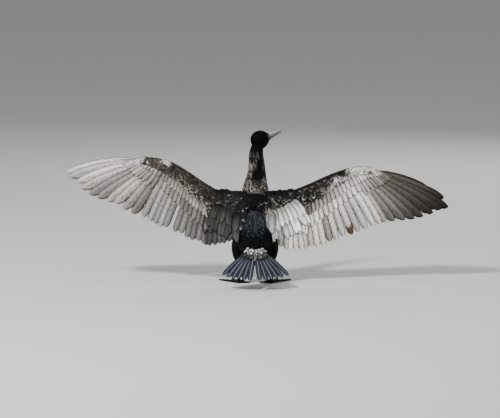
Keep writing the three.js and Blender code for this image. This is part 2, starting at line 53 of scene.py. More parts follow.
camera = bpy.data.objects.new("camera", camera_data)
away = Vector((0, -math.cos(CAMERA_ELEVATION), math.sin(CAMERA_ELEVATION)))
camera.location = Vector(CAMERA_AIM) + CAMERA_DISTANCE * away
camera.rotation_euler = (math.pi / 2 - CAMERA_ELEVATION, 0, 0)
bpy.context.scene.collection.objects.link(camera)
bpy.context.scene.camera = camera

# A pale floor, a pale room and four soft lamps. The strongest comes from high on the left behind
# the camera, where the sun stood, and two low ones light the bird's front for the other views.
FLOOR_SIDE = 90
LAMPS = {
    "lamp_key": {"at": (-2.4, -3.2, 3.8), "side": 0.7, "watts": 300},
    "lamp_fill": {"at": (3.6, -3.2, 1.8), "side": 2.2, "watts": 18},
    "lamp_front": {"at": (1.5, 4.2, 2.6), "side": 2.4, "watts": 60},
    "lamp_top": {"at": (-0.4, 0.8, 4.2), "side": 2.0, "watts": 30},
}
LAMP_TARGET = Vector((0, 0, 0.25))


def new_finish(name):
    """A new material, its node tree and its shader"""
    finish = bpy.data.materials.new(name)
    finish.use_nodes = True
    return finish, finish.node_tree, finish.node_tree.nodes["Principled BSDF"]


for lamp_name, lamp in LAMPS.items():
    light = bpy.data.lights.new(lamp_name, "AREA")
    light.energy = lamp["watts"]
    light.size = lamp["side"]
    holder = bpy.data.objects.new(lamp_name, light)
    holder.location = lamp["at"]
    holder.rotation_euler = (Vector(lamp["at"]) - LAMP_TARGET).to_track_quat("Z", "Y").to_euler()
    bpy.context.scene.collection.objects.link(holder)
world = bpy.data.worlds.new("room")
world.use_nodes = True
sky = world.node_tree.nodes["Background"]
sky.inputs["Color"].default_value = (0.86, 0.88, 0.9, 1)
sky.inputs["Strength"].default_value = 0.36
bpy.context.scene.world = world
floor_mesh = bpy.data.meshes.new("floor")
half = FLOOR_SIDE / 2
floor_mesh.from_pydata([(-half, -half, 0), (half, -half, 0), (half, half, 0), (-half, half, 0)], [], [(0, 1, 2, 3)])
floor = bpy.data.objects.new("floor", floor_mesh)
bpy.context.scene.collection.objects.link(floor)
floor_finish, _, floor_shader = new_finish("floor_finish")
floor_shader.inputs["Base Color"].default_value = (0.74, 0.74, 0.73, 1)
floor_shader.inputs["Roughness"].default_value = 0.75
floor.data.materials.append(floor_finish)

# The skin under the body feathers, one dark downy hide over torso, neck, head and thighs. Each of them
# is an oval tube, a curved path with a half width and a half height along it, and all are melted into
# one surface. What shows of it between the feathers has their colours.
MM = 0.001
ORIGIN = np.array([7, 26, 0])
COAT_DEPTH = 2.6
CAP_SHARE = 0.02
SKIN_VOXEL = 0.0032
HEAD_TURN = math.radians(37)
HEAD_LIFT = math.radians(12)
HEAD_BACK = np.array([-5, 134, 440])
HEAD_LENGTH = 82
bill_way = np.array([
    math.sin(HEAD_TURN) * math.cos(HEAD_LIFT),
    math.cos(HEAD_TURN) * math.cos(HEAD_LIFT),
    math.sin(HEAD_LIFT),
])
head_right = np.array([math.cos(HEAD_TURN), -math.sin(HEAD_TURN), 0])
head_up = np.cross(head_right, bill_way)


def head_point(reach, right, rise):
    """Place on the head: so far from the crown's back along the bill, to its right and up, in mm"""
    reach, right, rise = (np.asarray(v, float)[..., None] for v in (reach, right, rise))
    return HEAD_BACK + reach * bill_way + right * head_right + rise * head_up


def spline(values, t):
    """Catmull-Rom curve through evenly spaced values, read at places t from 0 to 1"""
    values = np.asarray(values, float)
    last = len(values) - 1
    place = np.clip(t, 0, 1) * last
    i = np.minimum(place.astype(int), last - 1)
    f = (place - i).reshape(place.shape + (1,) * (values.ndim - 1))
    a, b, c, d = (values[np.clip(i + k, 0, last)] for k in (-1, 0, 1, 2))
    return b + 0.5 * f * (c - a + f * (2 * a - 5 * b + 4 * c - d + f * (3 * (b - c) + d - a)))


def unit(vectors):
    """Vectors shortened or stretched to length one"""
    return vectors / np.maximum(np.linalg.norm(vectors, axis=-1, keepdims=True), 1e-9)


def tube_raw(tube, t, angle):
    """Path point plus the half width times the cosine sideways and the half height times the sine up"""
    t, angle = np.broadcast_arrays(t, angle)
    centre = spline(tube["path"], t)
    forward = unit(spline(tube["path"], t + 0.004) - spline(tube["path"], t - 0.004))
    side = np.asarray(tube["side"], float)
    across = unit(side - forward * (forward @ side)[..., None])
    up = np.cross(across, forward)
    power = 2 / tube.get("square", 2)
    round_to = lambda v: np.sign(v) * np.abs(v) ** power
    wide = spline(tube["width"], t) * round_to(np.cos(angle))
    high = spline(tube["height"], t) * round_to(np.sin(angle))
    return centre + across * wide[..., None] + up * high[..., None]


def tube_point(tube, t, angle, rise=0.0):
    """Point of the tube moved by rise along the normal, which comes from the surface's two slopes"""
    t, angle, rise = np.broadcast_arrays(t, angle, rise)
    t = np.clip(t, 0.006, 0.994)
    step = 0.005
    along_slope = tube_raw(tube, t + step, angle) - tube_raw(tube, t - step, angle)
    round_slope = tube_raw(tube, t, angle + 0.03) - tube_raw(tube, t, angle - 0.03)
    normal = unit(np.cross(along_slope, round_slope))
    return tube_raw(tube, t, angle) + normal * rise[..., None]


TORSO = {
    "path": [(0, -86, 113), (0, -58, 123), (0, -20, 136), (0, 24, 153), (0, 64, 181), (0, 94, 216),
             (0, 115, 250), (0, 128, 276)],
    "width": [19, 43, 61, 72, 73, 68, 56, 34],
    "height": [12, 32, 52, 64, 65, 57, 45, 32],
    "side": (1, 0, 0),
    "square": 2.15,
}
NECK = {
    "path": [(0, 116, 254), (2, 140, 296), (5, 153, 332), (5, 153, 370), (4, 148, 402), (11, 157, 440)],
    "width": [52, 40, 31, 26, 22.5, 17],
    "height": [46, 39, 31, 26, 23, 17],
    "side": (1, 0, 0),
}
HEAD_DROP = [0, 0, 0, -1, -1, -1.5, -2, -2]
HEAD = {
    "path": head_point(np.linspace(0, HEAD_LENGTH, len(HEAD_DROP)), np.zeros(len(HEAD_DROP)), HEAD_DROP),
    "width": [1.5, 20, 26, 27.5, 26, 20.5, 13.5, 10.5],
    "height": [1.5, 21, 28, 30, 27.5, 21.5, 14.5, 11.5],
    "side": head_right,
}
THIGHS = {
    side: {
        "path": [(side * x, y, z) for x, y, z in ((32, 34, 154), (45, 12, 124), (51, -8, 94), (52, -25, 69))],
        "width": [24, 29, 21, 7.4],
        "height": [30, 36, 24, 8.8],
        "side": (1, 0, 0),
    }
    for side in (1, -1)
}


def grid_quads(rows, columns, closed=False):
    """Quads of a grid of points, row by row, whose last column may join the first"""
    grid = np.arange(rows * columns).reshape(rows, columns)
    if closed:
        grid = np.hstack([grid, grid[:, :1]])
    return np.stack([grid[:-1, :-1], grid[:-1, 1:], grid[1:, 1:], grid[1:, :-1]], -1).reshape(-1, 4)


def paint(mesh, tint):
    """Give each point of a mesh its colour"""
    colours = np.ones((len(mesh.vertices), 4), np.float32)
    colours[:, :3] = tint.reshape(-1, 3)
    mesh.color_attributes.new("tint", "FLOAT_COLOR", "POINT").data.foreach_set("color", colours.ravel())


def new_piece(name, points, quads, finish, slot, uvs=None, tint=None):
    """Object from points in mm and quads, with UV maps and a colour given for each point"""
    points = np.ascontiguousarray((points.reshape(-1, 3) - ORIGIN) * MM)
    mesh = bpy.data.meshes.new(name)
    mesh.vertices.add(len(points))
    mesh.vertices.foreach_set("co", points.ravel())
    mesh.loops.add(quads.size)
    mesh.loops.foreach_set("vertex_index", quads.ravel().astype(np.int32))
    mesh.polygons.add(len(quads))
    mesh.polygons.foreach_set("loop_start", np.arange(0, quads.size, 4, dtype=np.int32))
    mesh.polygons.foreach_set("use_smooth", np.ones(len(quads), bool))
    mesh.update(calc_edges=True)
    for map_name, coordinates in (uvs or {}).items():
        layer = mesh.uv_layers.new(name=map_name)
        layer.uv.foreach_set("vector", coordinates.reshape(-1, 2)[quads.ravel()].astype(np.float32).ravel())
    if tint is not None:
        paint(mesh, tint)
    mesh.validate()
    piece = bpy.data.objects.new(name, mesh)
    bpy.context.scene.collection.objects.link(piece)
    mesh.materials.append(finish)
    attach(piece, "root")
    return piece


def round_grid(rows, columns):
    """Places from 0 to 1 along a tube and angles once round it, as a grid"""
    return np.meshgrid(np.linspace(0, 1, rows), np.linspace(0, 2 * np.pi, columns, endpoint=False), indexing="ij")


def capped(points):
    """Rings of points and their quads, closed by one more ring at each end, drawn nearly to its middle"""
    ends = points[[0, -1]]
    middles = ends.mean(axis=1, keepdims=True)
    caps = middles + (ends - middles) * CAP_SHARE
    rows, columns = points.shape[:2]
    return np.concatenate([caps[:1], points, caps[1:]]), grid_quads(rows + 2, columns, closed=True)


def capped_tube(tube, rise, rows=60, columns=48):
    """Points and quads of a whole tube. The rise over its surface is one number, or a function of the
    place along and the angle round."""
    t, angle = round_grid(rows, columns)
    return capped(tube_point(tube, t, angle, rise(t, angle) if callable(rise) else rise))


def joined(parts):
    """Points and quads of several parts as one, the quads of each moved on past the points before it"""
    starts = np.cumsum([0] + [points.size // 3 for points, _ in parts[:-1]])
    return (np.concatenate([points.reshape(-1, 3) for points, _ in parts]),
            np.concatenate([quads + start for (_, quads), start in zip(parts, starts)]))


def vary(points, scale, seed):
    """Smooth noise from -1 to 1: five sine waves in scattered directions across the points, in mm"""
    chance = np.random.default_rng(seed)
    ways = unit(chance.normal(size=(5, 3))) / scale
    phases = chance.uniform(0, 2 * np.pi, 5)
    return np.sin(points @ ways.T * 2 * np.pi + phases).sum(axis=-1) / 2.6


BLACK = np.array([0.0022, 0.0024, 0.0032])
# painted sheen: a slate grey laid on the black mid-back for the sun's gloss on it
PAINTED_SHEEN_SLATE = np.array([0.092, 0.1, 0.125])
BROWN = np.array([0.045, 0.036, 0.029])
STONE = np.array([0.26, 0.235, 0.205])
BUFF = np.array([0.46, 0.42, 0.36])


def mix(a, b, share):
    """Blend from a to b by a share given for each point"""
    return a + (b - a) * np.clip(share, 0, 1)[..., None]


def ramp(value, start, end):
    """Share from 0 at start to 1 at end, eased at both ends"""
    f = np.clip((value - start) / (end - start), 0, 1)
    return f * f * (3 - 2 * f)


def markings(points):
    """Plumage colour of the body at points in mm: black above with a painted slate sheen in mid-back,
    where the sun's gloss on the feathers is painted in, mottled brown on the neck with a black stripe
    down the nape, pale and mottled below"""
    x, y, z = points[..., 0], points[..., 1], points[..., 2]
    fine = vary(points, 11, 3)
    broad = vary(points, 55, 4)
    # painted sheen: the slate highlight over the mid-back stands for the sun's gloss, not for a colour of the feathers
    painted_sheen = ramp(z + 12 * fine, 170, 196) * ramp(z, 290, 262) * (0.45 + 0.4 * fine) * (y < 110)
    colour = mix(BLACK, PAINTED_SHEEN_SLATE, painted_sheen)
    middle = np.interp(z, [110, 150, 216, 276, 330], [-60, 20, 92, 126, 146])
    chest = ramp(z, 200, 280)
    belly = ramp(y - middle, 46 - 26 * chest, 76 - 34 * chest) * ramp(z, 335, 300)
    colour = mix(colour, STONE, belly * (0.6 + 0.4 * fine))
    colour = mix(colour, BUFF, belly * np.clip(fine * 0.8 + broad * 0.6 - 0.1, 0, 1))
    mottle = mix(BROWN * 0.9, STONE * 2.1, 0.45 + 1.0 * fine) * mix(1.0, 0.6, ramp(z, 370, 405))
    collar = ramp(z, 280, 296) * ramp(z, 336, 318)
    nape_half = 4 + 13 * ramp(z, 410, 345) - 5 * ramp(z, 330, 308)
    from_nape = np.abs(x - 8 - 9 * ramp(z, 350, 395) - 3 * fine)
    nape = ramp(from_nape, nape_half + 5, nape_half - 4) * (y < 152) * ramp(z, 300, 318)
    colour = mix(colour, mottle, collar * 0.8 * (1 - 0.7 * nape))
    sides = ramp(z, 312, 326) * ramp(z, 419, 403) * (1 - nape)
    colour = mix(colour, mottle, sides * (0.6 + 0.35 * broad))
    local = points - HEAD_BACK
    reach, rise = local @ bill_way, local @ head_up
    chin = ramp(rise, -13, -20) * ramp(reach, 34, 52) * ramp(reach, 74, 62) * (z > 400)
    return mix(colour, BUFF, chin * (0.6 + 0.35 * fine))


def new_group(name, inputs, outputs):
    """Shader node group with the named sockets, and its two end nodes"""
    group = bpy.data.node_groups.new(name, "ShaderNodeTree")
    for socket_name, kind, value in inputs:
        socket = group.interface.new_socket(socket_name, in_out="INPUT", socket_type=kind)
        socket.default_value = value
    for socket_name, kind in outputs:
        group.interface.new_socket(socket_name, in_out="OUTPUT", socket_type=kind)
    return group, group.nodes.new("NodeGroupInput"), group.nodes.new("NodeGroupOutput")


def set_inputs(tree, node, **inputs):
    """A node's inputs, named, or numbered as in i0, are set to values or linked from sockets"""
    for key, value in inputs.items():
        socket = node.inputs[int(key[1:]) if key[1:].isdigit() else key.replace("_", " ")]
        if isinstance(value, bpy.types.NodeSocket):
            tree.links.new(value, socket)
        else:
            socket.default_value = value


def add_node(tree, kind, settings=None, **inputs):
    """Shader node with its settings and its inputs"""
    node = tree.nodes.new("ShaderNode" + kind)
    for key, value in (settings or {}).items():
        setattr(node, key, value)
    set_inputs(tree, node, **inputs)
    return node


def math_node(tree, operation, a, b=0.0, clamp=False):
    """Output of one Math node"""
    return add_node(tree, "Math", {"operation": operation, "use_clamp": clamp}, i0=a, i1=b).outputs[0]


def mix_node(tree, share, first, second):
    """Output of one Mix node for colours"""
    return add_node(tree, "Mix", {"data_type": "RGBA"}, i0=share, i6=first, i7=second).outputs[2]


def scale_node(tree, colour, gain):
    """Output of one node that makes a colour so many times brighter"""
    return add_node(tree, "VectorMath", {"operation": "SCALE"}, i0=colour, Scale=gain).outputs[0]


# The barbs that make up every vane, shared by all feathers: fine lines that slant to the tip on both
# sides of a horny shaft, and cling together in clumps. They are drawn from the feather's own UV map,
# and its shaft and its dark rim come out as masks. The rim stands partly for the vane's own dark edge
# and partly for painted shade where neighbouring feathers overlap.
BARB_DEPTH = 0.0004
barbs, barbs_in, barbs_out = new_group(
    "barbs",
    [("Pitch", "NodeSocketFloat", 90.0), ("Shaft Width", "NodeSocketFloat", 0.05),
     ("Rim Width", "NodeSocketFloat", 0.2)],
    [("Height", "NodeSocketFloat"), ("Tone", "NodeSocketFloat"), ("Shaft", "NodeSocketFloat"),
     ("Rim", "NodeSocketFloat")],
)
vane_uv = add_node(barbs, "UVMap", {"uv_map": "vane"})
vane_axes = add_node(barbs, "SeparateXYZ", i0=vane_uv.outputs[0])
from_shaft = math_node(barbs, "ABSOLUTE", math_node(barbs, "SUBTRACT", vane_axes.outputs[0], 0.5))
waver = add_node(barbs, "TexNoise", {"noise_dimensions": "2D"}, Vector=vane_uv.outputs[0], Scale=3.0, Detail=2.0)
slant = math_node(barbs, "MULTIPLY", from_shaft, -0.55)
run = math_node(barbs, "ADD", vane_axes.outputs[1], slant)
run = math_node(barbs, "ADD", run, math_node(barbs, "MULTIPLY", waver.outputs[0], 0.05))
wave = math_node(barbs, "SINE", math_node(barbs, "MULTIPLY", run, barbs_in.outputs["Pitch"]))
clump_uv = add_node(barbs, "CombineXYZ", i0=run, i1=math_node(barbs, "MULTIPLY", from_shaft, 0.4))
clumps = add_node(
    barbs, "TexNoise", {"noise_dimensions": "2D"}, Vector=clump_uv.outputs[0], Scale=9.0, Detail=3.0)
shaft_mask = math_node(
    barbs, "SUBTRACT", 1.0, math_node(barbs, "DIVIDE", from_shaft, barbs_in.outputs["Shaft Width"]), clamp=True)
shaft_mask = math_node(barbs, "MULTIPLY", shaft_mask, 2.5, clamp=True)
rim_start = math_node(barbs, "SUBTRACT", 0.5, barbs_in.outputs["Rim Width"])
rim = math_node(
    barbs, "DIVIDE", math_node(barbs, "SUBTRACT", from_shaft, rim_start), barbs_in.outputs["Rim Width"], clamp=True)
tone = math_node(
    barbs, "ADD", math_node(barbs, "MULTIPLY", wave, 0.12), math_node(barbs, "MULTIPLY", clumps.outputs[0], 1.6))
tone = math_node(barbs, "ADD", tone, 0.15)
ridges = math_node(barbs, "ADD", math_node(barbs, "MULTIPLY", wave, 0.5), math_node(barbs, "MULTIPLY", shaft_mask, 3.0))
height = math_node(barbs, "ADD", ridges, clumps.outputs[0])
set_inputs(barbs, barbs_out, Height=height, Tone=tone, Shaft=shaft_mask, Rim=rim)


def feather_finish(
        name, shaft_gain, shaft_width, rim_colour, rim_share, roughness, pitch=90.0, bump=0.35, gloss=0.3,
        rim_width=0.2):
    """Material of a kind of feather: its tint toned by the barbs, so many times paler on the shaft, and
    a dark rim, partly the vane's own dark edge and partly painted shade between overlapping feathers"""
    finish, tree, shader = new_finish(name)
    detail = add_node(
        tree, "Group", {"node_tree": barbs}, Pitch=pitch, Shaft_Width=shaft_width, Rim_Width=rim_width)
    tint = add_node(tree, "Attribute", {"attribute_name": "tint"}).outputs["Color"]
    # dark rim: partly the vane's own dark edge, partly painted shade where neighbouring feathers overlap
    rim_factor = math_node(tree, "MULTIPLY", detail.outputs["Rim"], rim_share)
    rimmed = mix_node(tree, rim_factor, scale_node(tree, tint, detail.outputs["Tone"]), (*rim_colour, 1))
    colour = mix_node(tree, detail.outputs["Shaft"], rimmed, scale_node(tree, tint, shaft_gain))
    bump_node = add_node(tree, "Bump", Strength=bump, Distance=BARB_DEPTH, Height=detail.outputs["Height"])
    rough = add_node(
        tree, "MapRange", Value=detail.outputs["Tone"], From_Min=0.4, From_Max=1.4,
        To_Min=roughness + 0.08, To_Max=roughness - 0.06)
    set_inputs(
        tree, shader, Base_Color=colour, Normal=bump_node.outputs[0], Roughness=rough.outputs[0],
        Specular_IOR_Level=gloss)
    return finish


skin_finish, skin_tree, skin_shader = new_finish("down")
skin_tint = add_node(skin_tree, "Attribute", {"attribute_name": "tint"}).outputs["Color"]
skin_place = add_node(skin_tree, "TexCoord")
skin_noise = add_node(skin_tree, "TexNoise", Vector=skin_place.outputs["Object"], Scale=420.0, Detail=4.0)
skin_tone = scale_node(skin_tree, skin_tint, skin_noise.outputs[0])
skin_bump = add_node(skin_tree, "Bump", Strength=0.5, Distance=0.0008, Height=skin_noise.outputs[0])
set_inputs(skin_tree, skin_shader, Base_Color=skin_tone, Normal=skin_bump.outputs[0], Roughness=0.8)

skin_tubes = (TORSO, NECK, HEAD, THIGHS[1], THIGHS[-1])
tube_points, tube_quads = joined([capped_tube(tube, -COAT_DEPTH) for tube in skin_tubes])
skin = new_piece("skin", tube_points, tube_quads, skin_finish, "plumage")
melt = skin.modifiers.new("melt", "REMESH")
melt.mode = "VOXEL"
melt.voxel_size = SKIN_VOXEL
melt.use_smooth_shade = True
soften = skin.modifiers.new("soften", "SMOOTH")
soften.factor = 0.5
soften.iterations = 10
melted = bpy.data.meshes.new_from_object(skin.evaluated_get(bpy.context.evaluated_depsgraph_get()))
skin.modifiers.clear()
skin.data = melted
melted_points = np.empty(len(melted.vertices) * 3, np.float32)
melted.vertices.foreach_get("co", melted_points)
paint(melted, markings(melted_points.reshape(-1, 3) / MM + ORIGIN))
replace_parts(skin, "torso", "neck_lower", "neck_upper", "head", "thigh_left", "thigh_right")

# Small body feathers, each a thin closed vane that follows the tube it grows on. They stand in
# staggered rings and overlap like tiles, pointing back from the bill and down the legs, and leave bare
# the skin round the eyes and before them.
SIDES = ((1, "right"), (-1, "left"))
COAT_ROWS, COAT_COLUMNS = 5, 3
COAT_VANE = 0.25
COAT_SPREAD = 0.38
BAKE_STRIP = 0.2
BAKE_PATCH = 0.003


def lens_quads(rows, columns):
    """Quads of an upper sheet and of a lower one that shares its rim, turned over"""
    top = np.arange(rows * columns).reshape(rows, columns)
    low = top.copy()
    inner = (rows - 2) * (columns - 2)
    low[1:-1, 1:-1] = rows * columns + np.arange(inner).reshape(rows - 2, columns - 2)
    sheets = [np.stack([g[:-1, :-1], g[:-1, 1:], g[1:, 1:], g[1:, :-1]], -1).reshape(-1, 4) for g in (top, low)]
    return np.vstack([sheets[0], sheets[1][:, ::-1]])


def lens_points(upper, lower):
    """All points of one lens for each feather: the upper sheet, then the lower one without its rim"""
    count = len(upper)
    return np.concatenate(
        [upper.reshape(count, -1, upper.shape[-1]), lower[:, 1:-1, 1:-1].reshape(count, -1, upper.shape[-1])], axis=1)


def batch_quads(one, count, size, flip):
    """The same quads for every feather of a batch, each set moved on by the points of one feather"""
    quads = (one[None] + (np.arange(count) * size)[:, None, None]).reshape(-1, 4)
    return quads[:, ::-1] if flip else quads


def faces_inward(points, one, outwards):
    """Whether the first quads of a batch look away from the given outward directions"""
    a, b, d = (points[:, one[:, k]] for k in (0, 1, 3))
    half_way = len(one) // 2
    normals = np.cross(b - a, d - a)[:, :half_way].sum(axis=1)
    return (normals * outwards).sum() < 0


def contour_width(s):
    """Share of a body feather's width: quick to widen, broad at the middle, drawn in to a soft point"""
    grow = 0.42 + 0.58 * np.sin(np.clip(s / 0.45, 0, 1) * np.pi / 2)
    close = np.clip(1 - (np.clip(s - 0.4, 0, 1) / 0.6) ** 2.2, 0.04, 1)
    return grow * close


def body_coat(name, tube, rings, spread, length, width, lie, strip, lift, seed, hidden=None):
    """Feathers in staggered rings along a tube. Each point of a feather is a point of the tube, moved
    along it by the feather's length and round it by its width, and raised a little towards the tip.
    The feathers of one tube share a strip of the bake map."""
    chance = np.random.default_rng(seed)
    ring_places = np.linspace(*rings)
    girth = np.pi * (spline(tube["width"], ring_places) + spline(tube["height"], ring_places))
    per_ring = np.maximum((girth / spread).astype(int), 6)
    t0 = np.repeat(ring_places, per_ring)
    slot_in_ring = np.concatenate([np.arange(n) for n in per_ring])
    stagger = np.repeat(0.5 * (np.arange(len(per_ring)) % 2), per_ring)
    a0 = 2 * np.pi * (slot_in_ring + stagger + chance.uniform(-0.22, 0.22, len(t0))) / np.repeat(per_ring, per_ring)
    ring_gap = (rings[1] - rings[0]) / max(rings[2] - 1, 1)
    t0 = t0 + chance.uniform(-0.3, 0.3, len(t0)) * ring_gap
    roots = tube_point(tube, t0, a0)
    if hidden is not None:
        seen = ~hidden(roots)
        t0, a0, roots = t0[seen], a0[seen], roots[seen]
    count = len(t0)
    size = chance.uniform(0.85, 1.15, (count, 1, 1))
    long = (length(t0) if callable(length) else np.full(count, length))[:, None, None] * size
    wide = (width(t0) if callable(width) else np.full(count, width))[:, None, None] * size
    s = np.linspace(0, 1, COAT_ROWS)[None, :, None]
    c = np.linspace(-1, 1, COAT_COLUMNS)[None, None, :]
    speed = np.linalg.norm(tube_raw(tube, t0 + 0.01, a0) - tube_raw(tube, t0 - 0.01, a0), axis=-1) / 0.02
    turn = np.linalg.norm(tube_raw(tube, t0, a0 + 0.05) - tube_raw(tube, t0, a0 - 0.05), axis=-1) / 0.1
    skew = chance.normal(0, 0.2, (count, 1, 1))
    t = t0[:, None, None] + lie * long * s / speed[:, None, None]
    aside = wide / 2 * contour_width(s) * c + skew * long * s
    angle = a0[:, None, None] + aside / np.maximum(turn, 4)[:, None, None]
    stand = lift * chance.uniform(0.7, 1.4, (count, 1, 1))
    rise = -COAT_DEPTH * (1 - s) ** 2 + stand * s ** 1.5 - 0.5 * np.abs(c) * s
    upper = tube_point(tube, t, angle, rise)
    lower = tube_point(tube, t, angle, rise - COAT_VANE)
    one = lens_quads(COAT_ROWS, COAT_COLUMNS)
    points = lens_points(upper, lower)
    outwards = unit(tube_point(tube, t0, a0, 1.0) - roots)
    flip = faces_inward(points, one, outwards)
    across, along_vane = np.broadcast_arrays(c, s)
    own = np.stack([0.5 + 0.5 * across, along_vane], -1) * np.ones((count, 1, 1, 1))
    own = lens_points(own, own)
    turned = (a0 % (2 * np.pi)) / (2 * np.pi)
    place = np.stack([0.02 + BAKE_STRIP * strip + 0.16 * t0, 0.02 + 0.93 * turned], -1)
    base = markings(roots) * np.exp(chance.normal(0, COAT_SPREAD, (count, 1)))
    edge = 1 - 0.3 * own[..., 1:] ** 3
    quads = batch_quads(one, count, points.shape[1], flip)
    return new_piece(
        name, points, quads, body_finish, "plumage",
        {"OFBake": place[:, None, :] + BAKE_PATCH * own, "vane": own},
        base[:, None, :] * edge,
    )


def inside(tube, points, share=0.88):
    """Whether points lie within a share of a tube's section, by the nearest of its cross sections"""
    t = np.linspace(0, 1, 70)
    centres = spline(tube["path"], t)
    nearest = np.argmin(((points[:, None, :] - centres[None]) ** 2).sum(-1), axis=1)
    offset = points - centres[nearest]
    forward = unit(spline(tube["path"], t + 0.004) - spline(tube["path"], t - 0.004))[nearest]
    side = np.asarray(tube["side"], float)
    across = (offset * unit(side - forward * (forward @ side)[:, None])).sum(-1)
    deep = (offset ** 2).sum(-1) - across ** 2
    wide, high = (spline(tube[key], t)[nearest] * share for key in ("width", "height"))
    return (across / wide) ** 2 + deep / high ** 2 < 1


EYE_RADIUS = 6
EYE_CLEAR = 7.1
EYE_SHARE = 0.66
eye_aside = float(spline(HEAD["width"], np.array(EYE_SHARE))) * 0.97 - 4.2
EYES = {side: head_point(EYE_SHARE * HEAD_LENGTH, side * eye_aside, 5.5) for side in (1, -1)}
LORE_START = 57
LORE_END = 87.5
LORE_RIM = 0.8


def lore_edges(reach):
    """Heights of the upper and the lower edge of the bare skin between eye and bill, which widens"""
    return 1.5 - 0.1 * (reach - LORE_START), 0.5 - 0.56 * (reach - LORE_START)


def bare_face(points):
    """Whether points of the head lie round an eye or on the bare skin before it"""
    local = points - HEAD_BACK
    reach, rise = local @ bill_way, local @ head_up
    upper, lower = lore_edges(reach)
    lore = (reach > LORE_START + 1) & (rise < upper - LORE_RIM) & (rise > lower + LORE_RIM)
    return lore | (sum(np.linalg.norm(points - eye, axis=-1) < EYE_CLEAR for eye in EYES.values()) > 0)


body_finish = feather_finish(
    "body_feather", 1.3, 0.03, (0.002, 0.002, 0.003), 0.3, 0.5, pitch=26.0, bump=0.2, gloss=0.14)
body_coat(
    "coat_torso", TORSO, rings=(0.06, 0.985, 66), spread=5.4, length=21, width=8, lie=-1, strip=0, lift=0.45,
    seed=11)
body_coat(
    "coat_neck", NECK, rings=(0.06, 0.98, 86), spread=4.2, length=lambda t: 15 - 6 * t,
    width=lambda t: 6 - 2.4 * t, lie=-1, strip=1, lift=0.45, seed=12,
    hidden=lambda points: inside(TORSO, points) | inside(HEAD, points, 0.7))
body_coat(
    "coat_head", HEAD, rings=(0.012, 0.97, 57), spread=2.9, length=lambda t: 7.5 - 3 * t,
    width=lambda t: 3.5 - 1.4 * t, lie=-1, strip=2, lift=0.35, seed=13,
    hidden=lambda points: inside(NECK, points, 0.76) | bare_face(points))
for side, side_name in SIDES:
    body_coat(
        f"coat_thigh_{side_name}", THIGHS[side], rings=(0.1, 0.97, 38), spread=4.6, length=lambda t: 19 - 10 * t,
        width=lambda t: 8 - 4 * t, lie=1, strip=3 if side > 0 else 4, lift=0.5, seed=14,
        hidden=lambda points: inside(TORSO, points))

# Wings: stiff flight feathers rooted in the hand, the forearm and the arm, each over the next one out,
# tiers of coverts over and under their roots, and one covert ruffled up on the right wing. All of them
# lie along a curved sheet that hangs back from its front edge, and all sizes are those of the solids.
SHEET_SLOPE = 0.55
SHEET_FLATTEN = 0.0009
SHEET_EDGE = 22
BOW = 0.045
FLIGHT_VANE = 0.45
VANE_STEP = 1.25
BARB_SCALE = 12
# For each wing: its front edge and its bone as points, then for each part the aim of its flight
# feathers, in degrees outwards from straight down, and their lengths, from the inner to the outer one,
# and which of the secondaries is missing.
WINGS = {
    "right": {
        "side": 1,
        "edge_x": [46, 110, 300, 384, 502, 640],
        "edge_y": [84, 97, 128, 128, 112, 84],
        "edge_z": [290, 287, 358, 351, 315, 243],
        "bone_x": [46, 138, 304, 374],
        "bone_z": [268, 236, 347, 344],
        "forearm": {"angle": [8, 13, 19.5, 27, 33], "length": [132, 154, 161, 178, 194]},
        "hand": {"angle": [36, 44, 52.5, 59, 65, 69.5, 76], "length": [195, 213, 232, 254, 277, 280, 199]},
        "inner": {"angle": [3, 7, 12], "length": [142, 148, 138]},
        "missing": None,
    },
    "left": {
        "side": -1,
        "edge_x": [46, 106, 266, 336, 454, 620],
        "edge_y": [84, 97, 124, 128, 119, 86],
        "edge_z": [290, 284, 378, 388, 391, 352],
        "bone_x": [46, 138, 278, 356],
        "bone_z": [268, 243, 365, 379],
        "forearm": {"angle": [10, 16, 22, 24, 29], "length": [127, 141, 150, 170, 181]},
        "hand": {"angle": [38, 51, 60, 69, 78, 84], "length": [188, 194, 214, 234, 246, 255]},
        "inner": {"angle": [4, 7, 10], "length": [128, 134, 128]},
        "missing": 6,
    },
}


def eased(places, values, x):
    """Cubic through values at uneven places, its slope at each that of the line past its neighbours"""
    places, values = np.asarray(places, float), np.asarray(values, float)
    k = np.arange(len(places))
    low, high = np.maximum(k - 1, 0), np.minimum(k + 1, len(places) - 1)
    slopes = (values[high] - values[low]) / (places[high] - places[low])
    i = np.clip(np.searchsorted(places, x) - 1, 0, len(places) - 2)
    span = places[i + 1] - places[i]
    f = (x - places[i]) / span
    start = (2 * f ** 3 - 3 * f ** 2 + 1) * values[i] + (3 * f ** 2 - 2 * f ** 3) * values[i + 1]
    return start + span * ((f ** 3 - 2 * f ** 2 + f) * slopes[i] + (f ** 3 - f ** 2) * slopes[i + 1])


def sheet_depth(wing, x, z):
    """How far forward the wing's sheet lies: its front edge, less a slope that flattens further down"""
    below = eased(wing["edge_x"], wing["edge_z"], x) - z
    front = eased(wing["edge_x"], wing["edge_y"], x)
    return front - SHEET_SLOPE * below + SHEET_FLATTEN * below * np.maximum(below, 0)


def raised(depth, x, z, height):
    """Points of a surface given by its depth y at each x and z, raised towards -y along its normal,
    which comes from how the depth changes over one millimetre each way"""
    y = depth(x, z)
    normal = unit(np.stack([depth(x + 1, z) - y, -np.ones_like(y), depth(x, z + 1) - y], -1))
    return np.stack(np.broadcast_arrays(x, y, z), -1) + normal * np.asarray(height)[..., None]


def sheet_point(wing, x, z, height):
    """Point of the sheet at x out and z up, raised towards the wing's back along the sheet's normal.
    Near the front edge the height falls to nothing, so that both faces meet there."""
    share = (eased(wing["edge_x"], wing["edge_z"], x) - z) / SHEET_EDGE
    points = raised(lambda a, b: sheet_depth(wing, a, b), x, z, height * np.sqrt(np.clip(share, 0.01, 1)))
    points[..., 0] *= wing["side"]
    return points


